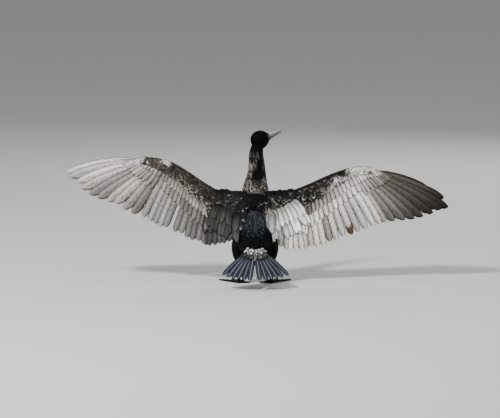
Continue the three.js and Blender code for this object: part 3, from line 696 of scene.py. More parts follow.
def row_of(wing, part, row):
    """Root, direction and length of each feather of a row, from the body outwards, as arrays"""
    spans = {
        "inner": (wing["bone_x"][0] + 16, wing["bone_x"][1] - 2),
        "forearm": (wing["bone_x"][1] + 6, wing["bone_x"][2] - 4),
        "hand": (wing["bone_x"][2] + 3, wing["bone_x"][3] - 5),
    }
    start, end = spans[part]
    t = np.linspace(0, 1, row["count"])
    x = start + (end - start) * t
    front = eased(wing["edge_x"], wing["edge_z"], x)
    z = front - (front - np.interp(x, wing["bone_x"], wing["bone_z"])) * row["root"]
    angle = np.radians(spline(wing[part]["angle"], t))
    length = row["length"] * (1 - 0.15 * t) if row["length"] else spline(wing[part]["length"], t)
    return {"t": t, "x": x, "z": z, "angle": angle, "length": length}


def flight_width(s, tip):
    """Share of a flight feather's width: a narrow root, an even blade, and a tip rounded over tip"""
    grow = 0.34 + 0.66 * np.sin(np.clip(s / 0.3, 0, 1) * np.pi / 2)
    close = np.sqrt(np.clip(1 - (np.clip(s - (1 - tip), 0, 1) / tip) ** 2.2, 0, 1))
    return grow * (1 - 0.1 * s) * close


def grow_vanes(surface, feathers, row, chance, rows, columns):
    """Points, barb UVs and outline shares of a row of vanes. A vane's outline is its width along the
    shaft, torn in a few places, its side barbs swept to the tip, and it leans up to its leading side."""
    count = len(feathers["x"])
    s = (np.linspace(0, 1, rows) ** 0.92)[None, :, None]
    c = np.linspace(-1, 1, columns)[None, None, :]
    pick = lambda key: np.broadcast_to(feathers[key], count).astype(float)[:, None, None]
    length = pick("length") * chance.uniform(0.98, 1.02, (count, 1, 1))
    half = np.where(c > 0, row["leading"], 1 - row["leading"]) * row["width"]
    notch = np.zeros((count, rows, 1))
    for _ in range(row.get("notches", 0)):
        centre = chance.uniform(0.3, 0.97, (count, 1, 1))
        reach = chance.uniform(0.01, 0.022, (count, 1, 1))
        depth = chance.uniform(0.04, 0.24, (count, 1, 1))
        notch = np.maximum(notch, depth * np.clip(1 - np.abs(s - centre) / reach, 0, 1))
    half = half * flight_width(s, row["tip"]) * (1 - notch * np.abs(c) ** 2 * np.where(c < 0, 1, 0.35))
    aside = half * c
    down = length * s - np.abs(c) * half * 0.25 * s + notch * 2 * np.abs(c)
    angle = pick("angle") + chance.normal(0, row.get("stray", 0.008), (count, 1, 1))
    lateral = aside + 4 * BOW * angle * length * s * (1 - s)
    step = row.get("step", VANE_STEP)
    lean = step / (feathers["gap"][0] + (feathers["gap"][1] - feathers["gap"][0]) * s) if step else 0.0
    base = row["lift"] + (row["sunk"] - row["lift"]) * np.clip(1 - s / 0.25, 0, 1)
    curl = chance.normal(0, row.get("curl", 0.6), (count, 1, 1)) * s ** 3
    outward = row.get("face", 1)
    height = base + outward * pick("lean") * lean * aside + curl + outward * 0.7 * (1 - c ** 2) * s ** 0.5
    shaft = np.where(np.abs(c) < 1e-6, 0.45 * (1 - 0.8 * s), 0)
    x = pick("x") + down * np.sin(angle) + lateral * np.cos(angle)
    z = pick("z") - down * np.cos(angle) + lateral * np.sin(angle)
    upper = surface(x, z, height + shaft)
    lower = surface(x, z, height - FLIGHT_VANE - shaft)
    across, along_vane = np.broadcast_arrays(c, s)
    every = np.ones((count, 1, 1, 1))
    own = np.stack([0.5 + 0.5 * across, along_vane * row["width"] / BARB_SCALE], -1) * every
    spot = np.stack([across * 0.5 + 0.5, along_vane], -1) * every
    return lens_points(upper, lower), lens_points(own, own), lens_points(spot, spot)


def vane_batch(surface, feathers, row, chance, shape, away, tint_of):
    """A row of vanes as join_rows takes it: points, both maps, the tint worked out from the outline
    shares, the quads of one vane, and whether they have to be turned to face the way given as away"""
    points, own, spot = grow_vanes(surface, feathers, row, chance, *shape)
    one = lens_quads(*shape)
    return points, own, spot, tint_of(spot), one, faces_inward(points, one, np.array(away))


# Colours of each kind of wing feather on each part: the root and the tip of its innermost feather,
# then the root and the tip of its outermost one. The right wing's tones are much paler than the left's
# for the same feathers: they hold painted highlight, the sun's glare on that wing painted in as silver,
# while the left wing's darker tones hold painted shade and its pale outer primaries painted light
# shining through them.
WING_TONES = {
    # painted highlight: these silver tones stand for the sun's glare on the right wing
    "right": {
        "flight": {
            "inner": [(0.667, 0.652, 0.623), (0.86, 0.841, 0.797), (0.638, 0.609, 0.566), (0.725, 0.681, 0.623)],
            "forearm": [(0.62, 0.58, 0.53), (0.5, 0.46, 0.41), (0.56, 0.54, 0.51), (0.34, 0.32, 0.3)],
            "hand": [(0.42, 0.4, 0.38), (0.24, 0.21, 0.185), (0.06, 0.049, 0.041), (0.003, 0.003, 0.003)],
        },
        "greater": {
            "inner": [(0.435, 0.406, 0.362), (0.812, 0.783, 0.739), (0.435, 0.406, 0.362), (0.754, 0.725, 0.667)],
            "forearm": [(0.4, 0.37, 0.33), (0.7, 0.66, 0.6), (0.5, 0.48, 0.45), (0.56, 0.54, 0.51)],
            "hand": [(0.5, 0.48, 0.45), (0.46, 0.43, 0.4), (0.2, 0.17, 0.15), (0.08, 0.068, 0.059)],
        },
        "median": {
            "inner": [(0.0725, 0.0653, 0.058), (0.609, 0.58, 0.536), (0.0725, 0.0653, 0.058), (0.435, 0.406, 0.362)],
            "forearm": [(0.0435, 0.0377, 0.0333), (0.232, 0.203, 0.174), (0.29, 0.268, 0.239), (0.725, 0.696, 0.652)],
            "hand": [(0.58, 0.551, 0.507), (0.812, 0.783, 0.739), (0.232, 0.203, 0.174), (0.348, 0.304, 0.275)],
        },
    },
    # painted shade: these darker tones stand for the left wing's less lit side, its pale hand tones for light through
    # its primaries
    "left": {
        "flight": {
            "inner": [(0.03, 0.0282, 0.0258), (0.09, 0.087, 0.084), (0.024, 0.0222, 0.0204), (0.051, 0.048, 0.045)],
            "forearm": [(0.085, 0.08, 0.075), (0.15, 0.144, 0.137), (0.33, 0.31, 0.295), (0.3, 0.285, 0.275)],
            "hand": [(0.297, 0.262, 0.237), (0.257, 0.223, 0.203), (0.455, 0.435, 0.415), (0.435, 0.415, 0.405)],
        },
        "greater": {
            "inner": [(0.018, 0.0168, 0.0156), (0.084, 0.081, 0.078), (0.018, 0.0162, 0.015), (0.042, 0.039, 0.036)],
            "forearm": [(0.06, 0.055, 0.05), (0.125, 0.115, 0.105), (0.178, 0.158, 0.142), (0.234, 0.216, 0.197)],
            "hand": [(0.215, 0.188, 0.166), (0.269, 0.242, 0.22), (0.413, 0.385, 0.367), (0.466, 0.448, 0.431)],
        },
        "median": {
            "inner": [(0.012, 0.0108, 0.0102), (0.054, 0.051, 0.048), (0.012, 0.0108, 0.0102), (0.03, 0.027, 0.0252)],
            "forearm": [(0.045, 0.04, 0.035), (0.55, 0.5, 0.44), (0.06, 0.052, 0.046), (0.24, 0.21, 0.185)],
            "hand": [(0.092, 0.0782, 0.069), (0.345, 0.31, 0.287), (0.345, 0.322, 0.299), (0.575, 0.552, 0.529)],
        },
    },
}
UMBER = np.array([0.075, 0.06, 0.048])
SOOT = np.array([0.014, 0.0125, 0.012])
CHALK = np.array([0.66, 0.65, 0.63])
RUST = np.array([0.1, 0.05, 0.026])
RUST_X = 298
LEFT_STREAKS = ((405, 0.12, 26, 0.3), (360, 0.1, 14, 0.14), (344, 0.55, 15, 0.15), (282, 0.12, 15, 0.2))
# the right streak at x 325 is painted highlight, a sun glint near the wrist's front edge
RIGHT_STREAKS = ((257, 0.5, 18, 0.16), (325, 0.1, 32, 0.3))


def tone_of(tones, t, s):
    """Colour at share s along a feather that is at share t across its row, from the four of its table"""
    inner_root, inner_tip, outer_root, outer_tip = np.array(tones)
    between = lambda low, high: np.exp(mix(np.log(low), np.log(high), t))
    return mix(between(inner_root, outer_root), between(inner_tip, outer_tip), s)


def painted_cup_shade(spot, depth):
    """Painted shade of a vane's cupped form: lighter at its shaft and darker out to both edges, from the share across
    it
    """
    return 1.12 - depth * np.abs(2 * spot[..., :1] - 1) ** 2.2


# Each row of feathers: its kind, how many, where it is rooted between the front edge (0) and the bone
# (1), its height there and further out, its length (None where the wing gives one for each feather),
# its width, the share of that on its leading side, its rounded tip, and how far its aim turns outwards.
ROW_SIZES = ("kind", "count", "root", "sunk", "lift", "length", "width", "leading", "tip", "turn")
WING_ROWS = {
    "inner": [
        ("flight", 7, 1, -1, 0, None, 26, 0.5, 0.2, 0),
        ("under", 8, 0.9, -2, -2.4, 76, 24, 0.5, 0.3, 0),
        ("greater", 6, 0.9, 1, 2.6, 112, 28, 0.5, 0.25, 6),
        ("median", 7, 0.62, 2, 4.6, 76, 26, 0.5, 0.3, 0),
    ],
    "forearm": [
        ("flight", 12, 1, -1, 0, None, 25, 0.42, 0.12, 0),
        ("under", 14, 0.92, -2, -2.4, 74, 22, 0.5, 0.3, 0),
        ("under", 15, 0.6, -3, -5, 52, 20, 0.5, 0.3, 0),
        ("greater", 13, 0.92, 1, 2.6, 88, 22, 0.45, 0.2, 0),
        ("median", 15, 0.7, 2, 4.6, 62, 20, 0.5, 0.3, 0),
    ],
    "hand": [
        ("flight", 10, 1, -1, 0, None, 33, 0.28, 0.16, 0),
        ("under", 10, 0.9, -1.5, -2.4, 76, 17, 0.5, 0.3, 0),
        ("under", 9, 0.5, -2, -4.4, 44, 14, 0.5, 0.35, 0),
        ("greater", 10, 0.9, 0.5, 2.6, 92, 17, 0.42, 0.3, 0),
        ("median", 9, 0.6, 1, 4.4, 52, 14, 0.5, 0.35, 0),
    ],
}
flight_finish = feather_finish(
    "flight_feather", 1.6, 0.05, (0.01, 0.009, 0.008), 0.92, 0.46, pitch=170.0, gloss=0.14, rim_width=0.13)
covert_finish = feather_finish(
    "wing_covert", 0.7, 0.03, (0.003, 0.003, 0.003), 0.8, 0.46, pitch=110.0, gloss=0.07)


CELL_SHAPE = 2.5


def join_rows(name, made, finish, slot):
    """One object from several rows of vanes, with a cell of the bake map for each feather"""
    total = sum(len(points) for points, *_ in made)
    across_cells = math.ceil(math.sqrt(total * CELL_SHAPE))
    down_cells = math.ceil(total / across_cells)
    all_points, all_quads, all_own, all_bake, all_tint = [], [], [], [], []
    first_cell, first_point = 0, 0
    for points, own, spot, tint, one, flip in made:
        count, size = points.shape[:2]
        cell = first_cell + np.arange(count)
        corner = np.stack([cell % across_cells, cell // across_cells], -1)[:, None, :]
        bake = (corner + 0.06 + 0.88 * spot) / np.array([across_cells, down_cells])
        all_points.append(points.reshape(-1, 3))
        all_quads.append(batch_quads(one, count, size, flip) + first_point)
        all_own.append(own.reshape(-1, 2))
        all_bake.append(bake.reshape(-1, 2))
        all_tint.append(tint.reshape(-1, 3))
        first_cell += count
        first_point += count * size
    return new_piece(
        name, np.concatenate(all_points), np.concatenate(all_quads), finish, slot,
        {"OFBake": np.concatenate(all_bake), "vane": np.concatenate(all_own)}, np.concatenate(all_tint))


def gaps_of(feathers):
    """Distance between neighbouring roots and between neighbouring tips of a row: that from its first
    to its last, shared out among the gaps"""
    x, z, angle, length = (feathers[key] for key in ("x", "z", "angle", "length"))
    tips = np.stack([x + length * np.sin(angle), z - length * np.cos(angle)], -1)
    roots = np.stack([x, z], -1)
    return [np.linalg.norm(ends[-1] - ends[0]) / (len(x) - 1) for ends in (roots, tips)]


def wing_rows(name, kinds, shape, notches, seed):
    """The vanes of the named kinds of row on all three parts of a wing, over it or under it. The
    secondaries lack the one that was moulted, and one of them has a rust-brown tip."""
    wing = WINGS[name]
    chance = np.random.default_rng(seed)
    made = []
    one = lens_quads(*shape)
    rows = [(part, dict(zip(ROW_SIZES, sizes))) for part, sizes_of in WING_ROWS.items() for sizes in sizes_of]
    for part, row in rows:
        kind = row["kind"]
        if kind not in kinds:
            continue
        row.update(notches=notches, face=-1 if kind == "under" else 1)
        secondaries = kind == "flight" and part == "forearm"
        feathers = row_of(wing, part, row)
        feathers.update(lean=1.0, gap=gaps_of(feathers))
        feathers["angle"] = feathers["angle"] + np.radians(row["turn"]) * feathers["t"]
        if secondaries and wing["missing"] is not None:
            keep = np.arange(row["count"]) != wing["missing"]
            feathers.update({key: feathers[key][keep] for key in ("t", "x", "z", "angle", "length")})
        points, own, spot = grow_vanes(lambda *at: sheet_point(wing, *at), feathers, row, chance, *shape)
        if kind == "under":
            tint = UMBER * (1.6 - 0.5 * spot[..., 1:])
        else:
            out = feathers["t"][:, None] ** (0.8 if part == "hand" and name == "right" else 1)
            tint = tone_of(WING_TONES[name][kind][part], out, spot[..., 1] ** 1.3)
        spread, painted_side_shade = (0.26, 0.3) if kind == "flight" else (0.24, 0.12)
        # painted shade: each wing vane darkened to both edges, as its cupped form would be shaded
        tint = tint * np.exp(chance.normal(0, spread, (len(points), 1, 1))) * painted_cup_shade(spot, 0.6)
        # painted shade: each vane darker on its covered side and lighter on its exposed edge, as the overlap lights
        # them
        tint = tint * (1 + painted_side_shade * (2 * spot[..., :1] - 1))
        if secondaries and name == "right":
            at_tip = spot[..., 1] > 0.95
            worn = np.argmin(np.abs((points[..., 0] * at_tip).sum(1) / at_tip.sum(1) - RUST_X))
            tint[worn] = mix(tint[worn], RUST, ramp(spot[worn, :, 1], 0.78, 0.88))
        made.append((points, own, spot, tint, one, faces_inward(points, one, np.array([0, -row["face"], 0]))))
    return made


def arm_skin(wing):
    """Closed loft of the arm: from the front edge back past the bone, a flat oval at each place"""
    t, angle = round_grid(60, 24)
    x = wing["bone_x"][0] + (wing["bone_x"][-1] - wing["bone_x"][0]) * t
    front = eased(wing["edge_x"], wing["edge_z"], x)
    chord = front - np.interp(x, wing["bone_x"], wing["bone_z"]) + 12
    back = 0.5 - 0.5 * np.cos(angle)
    thick = np.where(np.sin(angle) > 0, 3.8, -5.4) * spline([1.35, 1, 0.85, 0.45], t)
    points = sheet_point(wing, x, front - 1 - chord * back, thick * np.abs(np.sin(angle)) ** 0.7)
    points, quads = capped(points)
    return points, quads if wing["side"] < 0 else quads[:, ::-1]


def fringe_and_glint_share(spot):
    """Share of the pale fringe over a small feather, which on some feathers also carries painted glints: its tip, and
    both edges of its outer half
    """
    across = np.abs(2 * spot[..., 0] - 1)
    return np.maximum(ramp(spot[..., 1], 0.76, 0.95), 0.8 * ramp(across, 0.55, 1) * ramp(spot[..., 1], 0.35, 0.6))


def streaks_at(streaks, x, q):
    """Share of white at x and q: one soft oval for each streak, given by its middle and its two halves"""
    return sum(
        np.exp(-((x - at_x) / half_x) ** 2 - ((q - at_q) / half_q) ** 2) for at_x, at_q, half_x, half_q in streaks)


def lesser_tint(name, x, q, spot, chance):
    """Colour of the small feathers at x out and share q behind the front edge: dark with pale fringes
    up to the wrist, and paler with white streaks beyond it. The brightest fringes of some feathers are
    painted glints, and on the right wing the paleness from the wrist out and the streak near its front
    edge are painted highlight where the sun falls."""
    count = len(x)
    luck = chance.uniform(0, 1, count)
    dark = np.ones((count, 1)) * SOOT * chance.uniform(0.2, 1.1, (count, 1))
    brown = UMBER * chance.uniform(0.2, 1.5, (count, 1))
    if name == "right":
        # painted highlight: the right wing's pale brown and silver from the wrist out, and its pale back rows beyond x
        # 200, stand for sun glare
        wrist = ramp(x, 285, 312)
        base = mix(dark, brown * 3.4, wrist)
        base = mix(base, CHALK * 1.25, wrist * (luck > 0.16))
        base = mix(base, CHALK * 0.7, ramp(q, 0.55, 0.8) * ramp(x, 200, 250) * (luck > 0.3))
        # painted glints: the 0.3 raised on some feathers stands for sun glints on glossy feathers, over their real pale
        # fringes
        fringe_and_glint = np.where(x > 200, 0.2, 0.1) + 0.3 * (luck > 0.62) * (luck < 0.9)
        white = streaks_at(RIGHT_STREAKS, x, q)
    else:
        wrist = ramp(x, 262, 300)
        base = mix(mix(dark, brown, 0.45 * ramp(x, 90, 170)), brown * 1.1, wrist)
        base = mix(base, CHALK * 0.85, ramp(x, 346, 368) * (luck > 0.1))
        pale = ramp(x, 110, 150) * ramp(x, 275, 235) * ramp(q, 0.28, 0.55)
        # painted glints: the 0.14 raised on some feathers stands for sun glints, over their real pale fringes
        fringe_and_glint = 0.07 + 0.4 * pale * (luck > 0.12) + 0.14 * (luck > 0.75)
        white = streaks_at(LEFT_STREAKS, x, q)
    base = mix(base, CHALK * 1.2, np.clip(1.5 * white - 0.25, 0, 1) * (luck > 0.06))
    tip = np.ones((count, 1)) * np.array([1.08, 1, 0.9]) * fringe_and_glint[:, None]
    near = base[:, None, :] * (1.15 - 0.3 * spot[..., 1:])
    return mix(near, np.maximum(tip, base)[:, None, :], fringe_and_glint_share(spot))


def patch_piece(name, batch, place):
    """Object from one batch of small feathers, each with its own small patch of the bake map at place"""
    points, own, spot, tint, one, flip = batch
    return new_piece(
        name, points, batch_quads(one, len(points), points.shape[1], flip), covert_finish, "wing_feathers",
        {"OFBake": place[:, None, :] + BAKE_PATCH * spot, "vane": own}, tint)


LESSER_SHAPE = (7, 5)
ARM_SPAN = 340


def lesser_coat(piece_name, name, face, lines, per_line, seed):
    """Small feathers in staggered rows over the arm, from its front edge to behind the bone"""
    wing = WINGS[name]
    chance = np.random.default_rng(seed)
    line = np.repeat(np.arange(lines), per_line)
    q = 0.01 + (0.96 if name == "left" else 0.82) * line / (lines - 1) + chance.uniform(-0.025, 0.025, len(line))
    t = (np.tile(np.arange(per_line), lines) + 0.5 * (line % 2)) / per_line + chance.uniform(-0.004, 0.004, len(line))
    x = wing["bone_x"][0] + 2 + (wing["bone_x"][-1] - wing["bone_x"][0] + 2) * t
    front = eased(wing["edge_x"], wing["edge_z"], x)
    z = front - (front - np.interp(x, wing["bone_x"], wing["bone_z"])) * q - 1.5
    angle = np.radians(np.interp(x, wing["bone_x"], [6, 14, 36, 74]))
    length = np.interp(x, wing["bone_x"][1:], [27, 22, 16]) * chance.uniform(0.85, 1.15, len(x)) * (0.65 + 0.5 * q)
    row = {"width": 16, "leading": 0.5, "tip": 0.45, "sunk": 2.6, "lift": 5.6, "step": 0, "face": face,
           "stray": 0.13, "curl": 1.0}
    if face < 0:
        row.update(sunk=-3.6, lift=-7.2)
    feathers = {"x": x, "z": z, "angle": angle, "length": length, "lean": 0.0}

    def tint_of(spot):
        if face > 0:
            return lesser_tint(name, x, q, spot, chance)
        return UMBER * chance.uniform(0.6, 1.4, (len(x), 1, 1)) * (1.2 - 0.3 * spot[..., 1:])

    batch = vane_batch(
        lambda *at: sheet_point(wing, *at), feathers, row, chance, LESSER_SHAPE, [0, -face, 0], tint_of)
    along = (x - wing["bone_x"][0]) / ARM_SPAN
    place = np.stack([0.02 + 0.9 * along, (0.05 + 0.4 * q) + (0.5 if face < 0 else 0)], -1)
    return patch_piece(piece_name, batch, place)


for wing_name, wing in WINGS.items():
    arm_points, arm_quads = arm_skin(wing)
    arm_tint = np.ones_like(arm_points) * UMBER * 0.4
    new_piece(f"wing_{wing_name}_arm", arm_points, arm_quads, skin_finish, "wing_feathers", tint=arm_tint)
    flight = join_rows(
        f"wing_{wing_name}_flight", wing_rows(wing_name, ("flight",), (96, 9), 6, 21), flight_finish, "wing_feathers")
    join_rows(
        f"wing_{wing_name}_coverts", wing_rows(wing_name, ("greater", "median"), (34, 7), 3, 22), flight_finish,
        "wing_feathers")
    join_rows(
        f"wing_{wing_name}_lining", wing_rows(wing_name, ("under",), (22, 5), 2, 23), covert_finish, "wing_feathers")
    lesser_coat(f"wing_{wing_name}_lesser", wing_name, 1, 10, 46, 24)
    lesser_coat(f"wing_{wing_name}_lesser_lining", wing_name, -1, 9, 44, 25)
    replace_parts(flight, f"wing_{wing_name}_inner", f"wing_{wing_name}_forearm", f"wing_{wing_name}_hand")

stray_row = {"width": 17, "leading": 0.5, "tip": 0.34, "sunk": 1, "lift": 9, "step": 0, "stray": 0.05, "curl": 5}
stray = {
    "x": np.array([170.0, 178.0]), "z": np.array([284.0, 287.0]), "angle": np.radians([-30, 22]),
    "length": np.array([36.0, 30.0]), "lean": 0.0,
}
ruffled = vane_batch(
    lambda *at: sheet_point(WINGS["right"], *at), stray, stray_row, np.random.default_rng(26), (14, 7), [0, -1, 0],
    lambda spot: mix(SOOT, CHALK, fringe_and_glint_share(spot)))
join_rows("wing_right_ruffled", [ruffled], covert_finish, "wing_feathers")

# Mantle and scapulars: the scaly black feathers across the shoulders, rooted in the skin of the back
# and of the wings' roots, which get longer and paler down to the innermost wing feathers; on the right
# side that paleness is painted highlight where the sun falls. They lie on whichever of back and wing
# is rearmost.
MANTLE_HALF = 128
MANTLE_BLEND = 7
MANTLE_LINES, MANTLE_PER_LINE = 15, 31
BACK_STEP = 2.0
BACK_COLUMNS, BACK_ROWS = 41, 136
BACK_LOW = 60
SIDE_DEPTH = 300


def back_table():
    """Depth y of the back on a grid of x and z: for each x, the place on each of the torso's sections
    where its half width times the cosine comes to x, read at even heights"""
    t = np.linspace(0, 1, 160)
    heights = BACK_LOW + BACK_STEP * np.arange(BACK_ROWS)
    columns = []
    for x in BACK_STEP * np.arange(BACK_COLUMNS):
        wide = spline(TORSO["width"], t)
        cosine = np.clip(x / wide, 0, 1) ** (TORSO["square"] / 2)
        points = tube_raw(TORSO, t, np.arccos(cosine))
        y = np.where(x < wide, points[:, 1], SIDE_DEPTH + 100)
        z = np.maximum.accumulate(points[:, 2])
        columns.append(np.interp(heights, z, y))
    return np.array(columns)


back = back_table()


def back_depth(x, z):
    """Depth of the back at x and z, straight between the four nearest values of its table"""
    i = np.clip(np.abs(x) / BACK_STEP, 0, BACK_COLUMNS - 1.001)
    j = np.clip((z - BACK_LOW) / BACK_STEP, 0, BACK_ROWS - 1.001)
    i0, j0 = i.astype(int), j.astype(int)
    fi, fj = i - i0, j - j0
    low = back[i0, j0] * (1 - fj) + back[i0, j0 + 1] * fj
    high = back[i0 + 1, j0] * (1 - fj) + back[i0 + 1, j0 + 1] * fj
    return np.minimum(low, SIDE_DEPTH) * (1 - fi) + np.minimum(high, SIDE_DEPTH) * fi


def mantle_depth(x, z):
    """The rearmost of the back and of the wing's sheet on that side, rounded off where they meet"""
    out = np.maximum(np.abs(x), 30)
    sheet = np.where(x > 0, sheet_depth(WINGS["right"], out, z), sheet_depth(WINGS["left"], out, z))
    torso = back_depth(x, z)
    apart = np.abs(sheet - torso) / MANTLE_BLEND
    return np.minimum(sheet, torso) - MANTLE_BLEND * np.log1p(np.exp(-apart))


def mantle_tint(x, z, spot, chance):
    """Black with thin brown edges near the neck, sooty on the left side and silver on the right lower
    down, for feathers rooted at x and z. The right side's silver is painted highlight where the sun
    falls, and the brightest fringes of some feathers are painted glints."""
    count = len(x)
    luck = chance.uniform(0, 1, count)
    low = ramp(z, 262, 222) * ramp(np.abs(x), 22, 48)
    # painted highlight: the right side made pale and the left kept sooty, as the sun lights them
    pale = np.where(x > 0, low, low * 0.04)
    base = SOOT * chance.uniform(0.1, 0.7, (count, 1)) * mix(0.3, 1.0, ramp(np.abs(x), 20, 60))
    base = mix(base, np.array([0.66, 0.64, 0.61]), pale * (0.3 + 0.7 * luck))
    # painted glints: the 0.3 raised on a quarter of the feathers stands for sun glints on their fringes
    high = (0.02 + 0.07 * luck + 0.3 * (luck > 0.74)) * ramp(np.abs(x), 0, 34)
    # painted highlight: the right side's fringes far brighter than the left's, as the sun lights them
    fringe_and_glint = high + np.where(x > 0, 0.6, 0.05) * low * (luck > 0.2)
    tip = np.ones((count, 1)) * np.array([1.05, 1, 0.94]) * fringe_and_glint[:, None]
    near = base[:, None, :] * (1.1 - 0.25 * spot[..., 1:])
    return mix(near, np.maximum(tip, base)[:, None, :], fringe_and_glint_share(spot))


chance = np.random.default_rng(31)
line = np.repeat(np.arange(MANTLE_LINES), MANTLE_PER_LINE)
place = (np.tile(np.arange(MANTLE_PER_LINE), MANTLE_LINES) + 0.5 * (line % 2)) / (MANTLE_PER_LINE - 0.5) * 2 - 1
depth_down = line / (MANTLE_LINES - 1)
x = place * (MANTLE_HALF - 26 * depth_down ** 2) + chance.uniform(-2, 2, len(line))
z = 288 - 84 * depth_down + chance.uniform(-2.5, 2.5, len(line)) - 4 * np.cos(x / 40)
on_back = (np.abs(x) < 12 + 26 * depth_down) & (z < 250)
keep = ~on_back & ~((np.abs(x) < 30) & (z > 284))
x, z, depth_down = x[keep], z[keep], depth_down[keep]
outward = x / MANTLE_HALF
feathers = {
    "x": x, "z": z, "angle": np.radians(34 * outward * (0.5 + 0.5 * depth_down)),
    "length": 21 + 26 * depth_down * np.clip(np.abs(outward) * 1.6, 0.3, 1), "lean": 0.0,
}
row = {"width": 17, "leading": 0.5, "tip": 0.42, "sunk": 1.0, "lift": 4.6, "step": 0, "stray": 0.12, "curl": 1.2}
mantle_rows = [(feathers, row, (8, 5), mantle_tint)]


def scapular_row(side, count, inner, outer, angles, lengths):
    """A fan of long feathers from an inner to an outer root, both given as x and z, for one side"""
    t = np.linspace(0, 1, count)
    return {
        "x": side * (inner[0] + (outer[0] - inner[0]) * t), "z": inner[1] + (outer[1] - inner[1]) * t,
        "angle": side * np.radians(angles[0] + (angles[1] - angles[0]) * t),
        "length": lengths[0] + (lengths[1] - lengths[0]) * t, "lean": float(side), "gap": (9, 14), "t": t,
    }


def scapular_tint(x, z, spot, chance):
    """Silver with darker roots on the right side, soot with grey tips on the left one: the right side's silver is
    painted highlight where the sun falls
    """
    count = len(x)
    # painted highlight: silver on the right side and soot on the left, as the sun lights them
    tip = np.where(x[:, None] > 0, (0.78, 0.765, 0.74), (0.05, 0.048, 0.047))
    root = np.where(x[:, None] > 0, (0.3, 0.28, 0.25), (0.006, 0.006, 0.006))
    shade = np.exp(chance.normal(0, 0.24, (count, 1)))
    return mix((root * shade)[:, None, :], (tip * shade)[:, None, :], ramp(spot[..., 1], 0.1, 0.8))


long_row = {"width": 25, "leading": 0.5, "tip": 0.24, "sunk": 2, "lift": 6.5, "stray": 0.04, "curl": 1.5, "notches": 2}
short_row = {"width": 23, "leading": 0.5, "tip": 0.34, "sunk": 4, "lift": 8.5, "stray": 0.07, "curl": 1.5}
mantle_rows += [
    (scapular_row(1, 8, (56, 212), (116, 244), (7, 50), (94, 84)), long_row, (30, 7), scapular_tint),
    (scapular_row(1, 8, (50, 226), (118, 258), (4, 44), (66, 62)), short_row, (20, 7), scapular_tint),
    (scapular_row(-1, 8, (56, 208), (116, 238), (6, 32), (84, 74)), long_row, (30, 7), scapular_tint),
    (scapular_row(-1, 8, (50, 222), (118, 252), (4, 30), (60, 56)), short_row, (20, 7), scapular_tint),
]
made = [
    vane_batch(
        lambda *at: raised(mantle_depth, *at), feathers, row, chance, shape, [0, -1, 0],
        # painted shade: each mantle and scapular vane darkened to both edges, as its cupped form would be shaded
        lambda spot: tint_of(feathers["x"], feathers["z"], spot, chance) * painted_cup_shade(spot, 0.45))
    for feathers, row, shape, tint_of in mantle_rows
]
patch = np.stack([0.1 + 0.8 * (x + MANTLE_HALF) / (2 * MANTLE_HALF), 0.1 + 0.8 * (z - 150) / 150], -1)
patch_piece("mantle", made[0], patch)
join_rows("scapulars", made[1:], flight_finish, "wing_feathers")

# Tail: twelve stiff blue-black feathers with pale shafts, a short new pair growing between them, and
# coverts over and under their roots, whose pale tips on the upper rows are painted glints of sun on
# their edges. The fan is flat, droops from the rump, and is rooted in a flat lobe of skin.
TAIL_ROOT = np.array([0, -84, 112])
TAIL_DROOP = math.radians(34)
TAIL_ARCH = 0.0016
TAIL_START = 22
TAIL_APEX = -16
TAIL_SPREAD_DEGREES = 7.2
TAIL_SPREAD = math.radians(TAIL_SPREAD_DEGREES)


def tail_point(x, z, height):
    """Point of the tail's plane: x to the side and -z back from its root, drooping, with arched sides"""
    x, z, height = np.broadcast_arrays(x, z, height)
    rise = height - TAIL_ARCH * x ** 2
    back_way, up_way = (math.cos(TAIL_DROOP), math.sin(TAIL_DROOP)), (-math.sin(TAIL_DROOP), math.cos(TAIL_DROOP))
    return TAIL_ROOT + np.stack([x, z * back_way[0] + rise * up_way[0], z * back_way[1] + rise * up_way[1]], -1)


def fan_row(angles, length, gap_length, start=TAIL_START):
    """Feathers that fan out from the tail's apex at the given angles, each over the next one out"""
    return {
        "x": start * np.sin(angles), "z": -TAIL_APEX - start * np.cos(angles), "angle": angles,
        "length": length, "lean": np.sign(angles), "t": np.abs(angles) / np.max(np.abs(angles)),
        "gap": (TAIL_START * TAIL_SPREAD, (TAIL_START + gap_length) * TAIL_SPREAD),
    }


sides = np.array([-1, 1])
flight_angles = np.radians((sides[:, None] * (6 + TAIL_SPREAD_DEGREES * np.arange(6))).ravel())
growing_angles = np.radians(sides * 2.4)
covert_angles = np.radians(np.linspace(-46, 46, 15))
short_angles = np.radians(np.linspace(-62, 62, 27))
TAIL_ROWS = {
    "flight": (
        fan_row(flight_angles, 136 * (1 - 0.006 * np.abs(flight_angles) / TAIL_SPREAD), 136),
        {"width": 19, "leading": 0.5, "tip": 0.1, "sunk": 0, "lift": 0, "notches": 6}, (60, 9),
        [(0.010, 0.011, 0.016), (0.014, 0.0165, 0.026)], 0.12),
    "growing": (
        fan_row(growing_angles, np.full(2, 46.0), 46),
        {"width": 9, "leading": 0.5, "tip": 0.2, "sunk": 2, "lift": 2.4, "step": 0}, (20, 5),
        [(0.010, 0.011, 0.016), (0.05, 0.045, 0.04)], 0.12),
    "under": (
        fan_row(covert_angles, 50 - 8 * np.abs(covert_angles), 50),
        {"width": 14, "leading": 0.5, "tip": 0.3, "sunk": -3, "lift": -3.6, "step": 0, "face": -1}, (14, 5),
        [(0.012, 0.012, 0.014), (0.02, 0.02, 0.022)], 0.4),
}
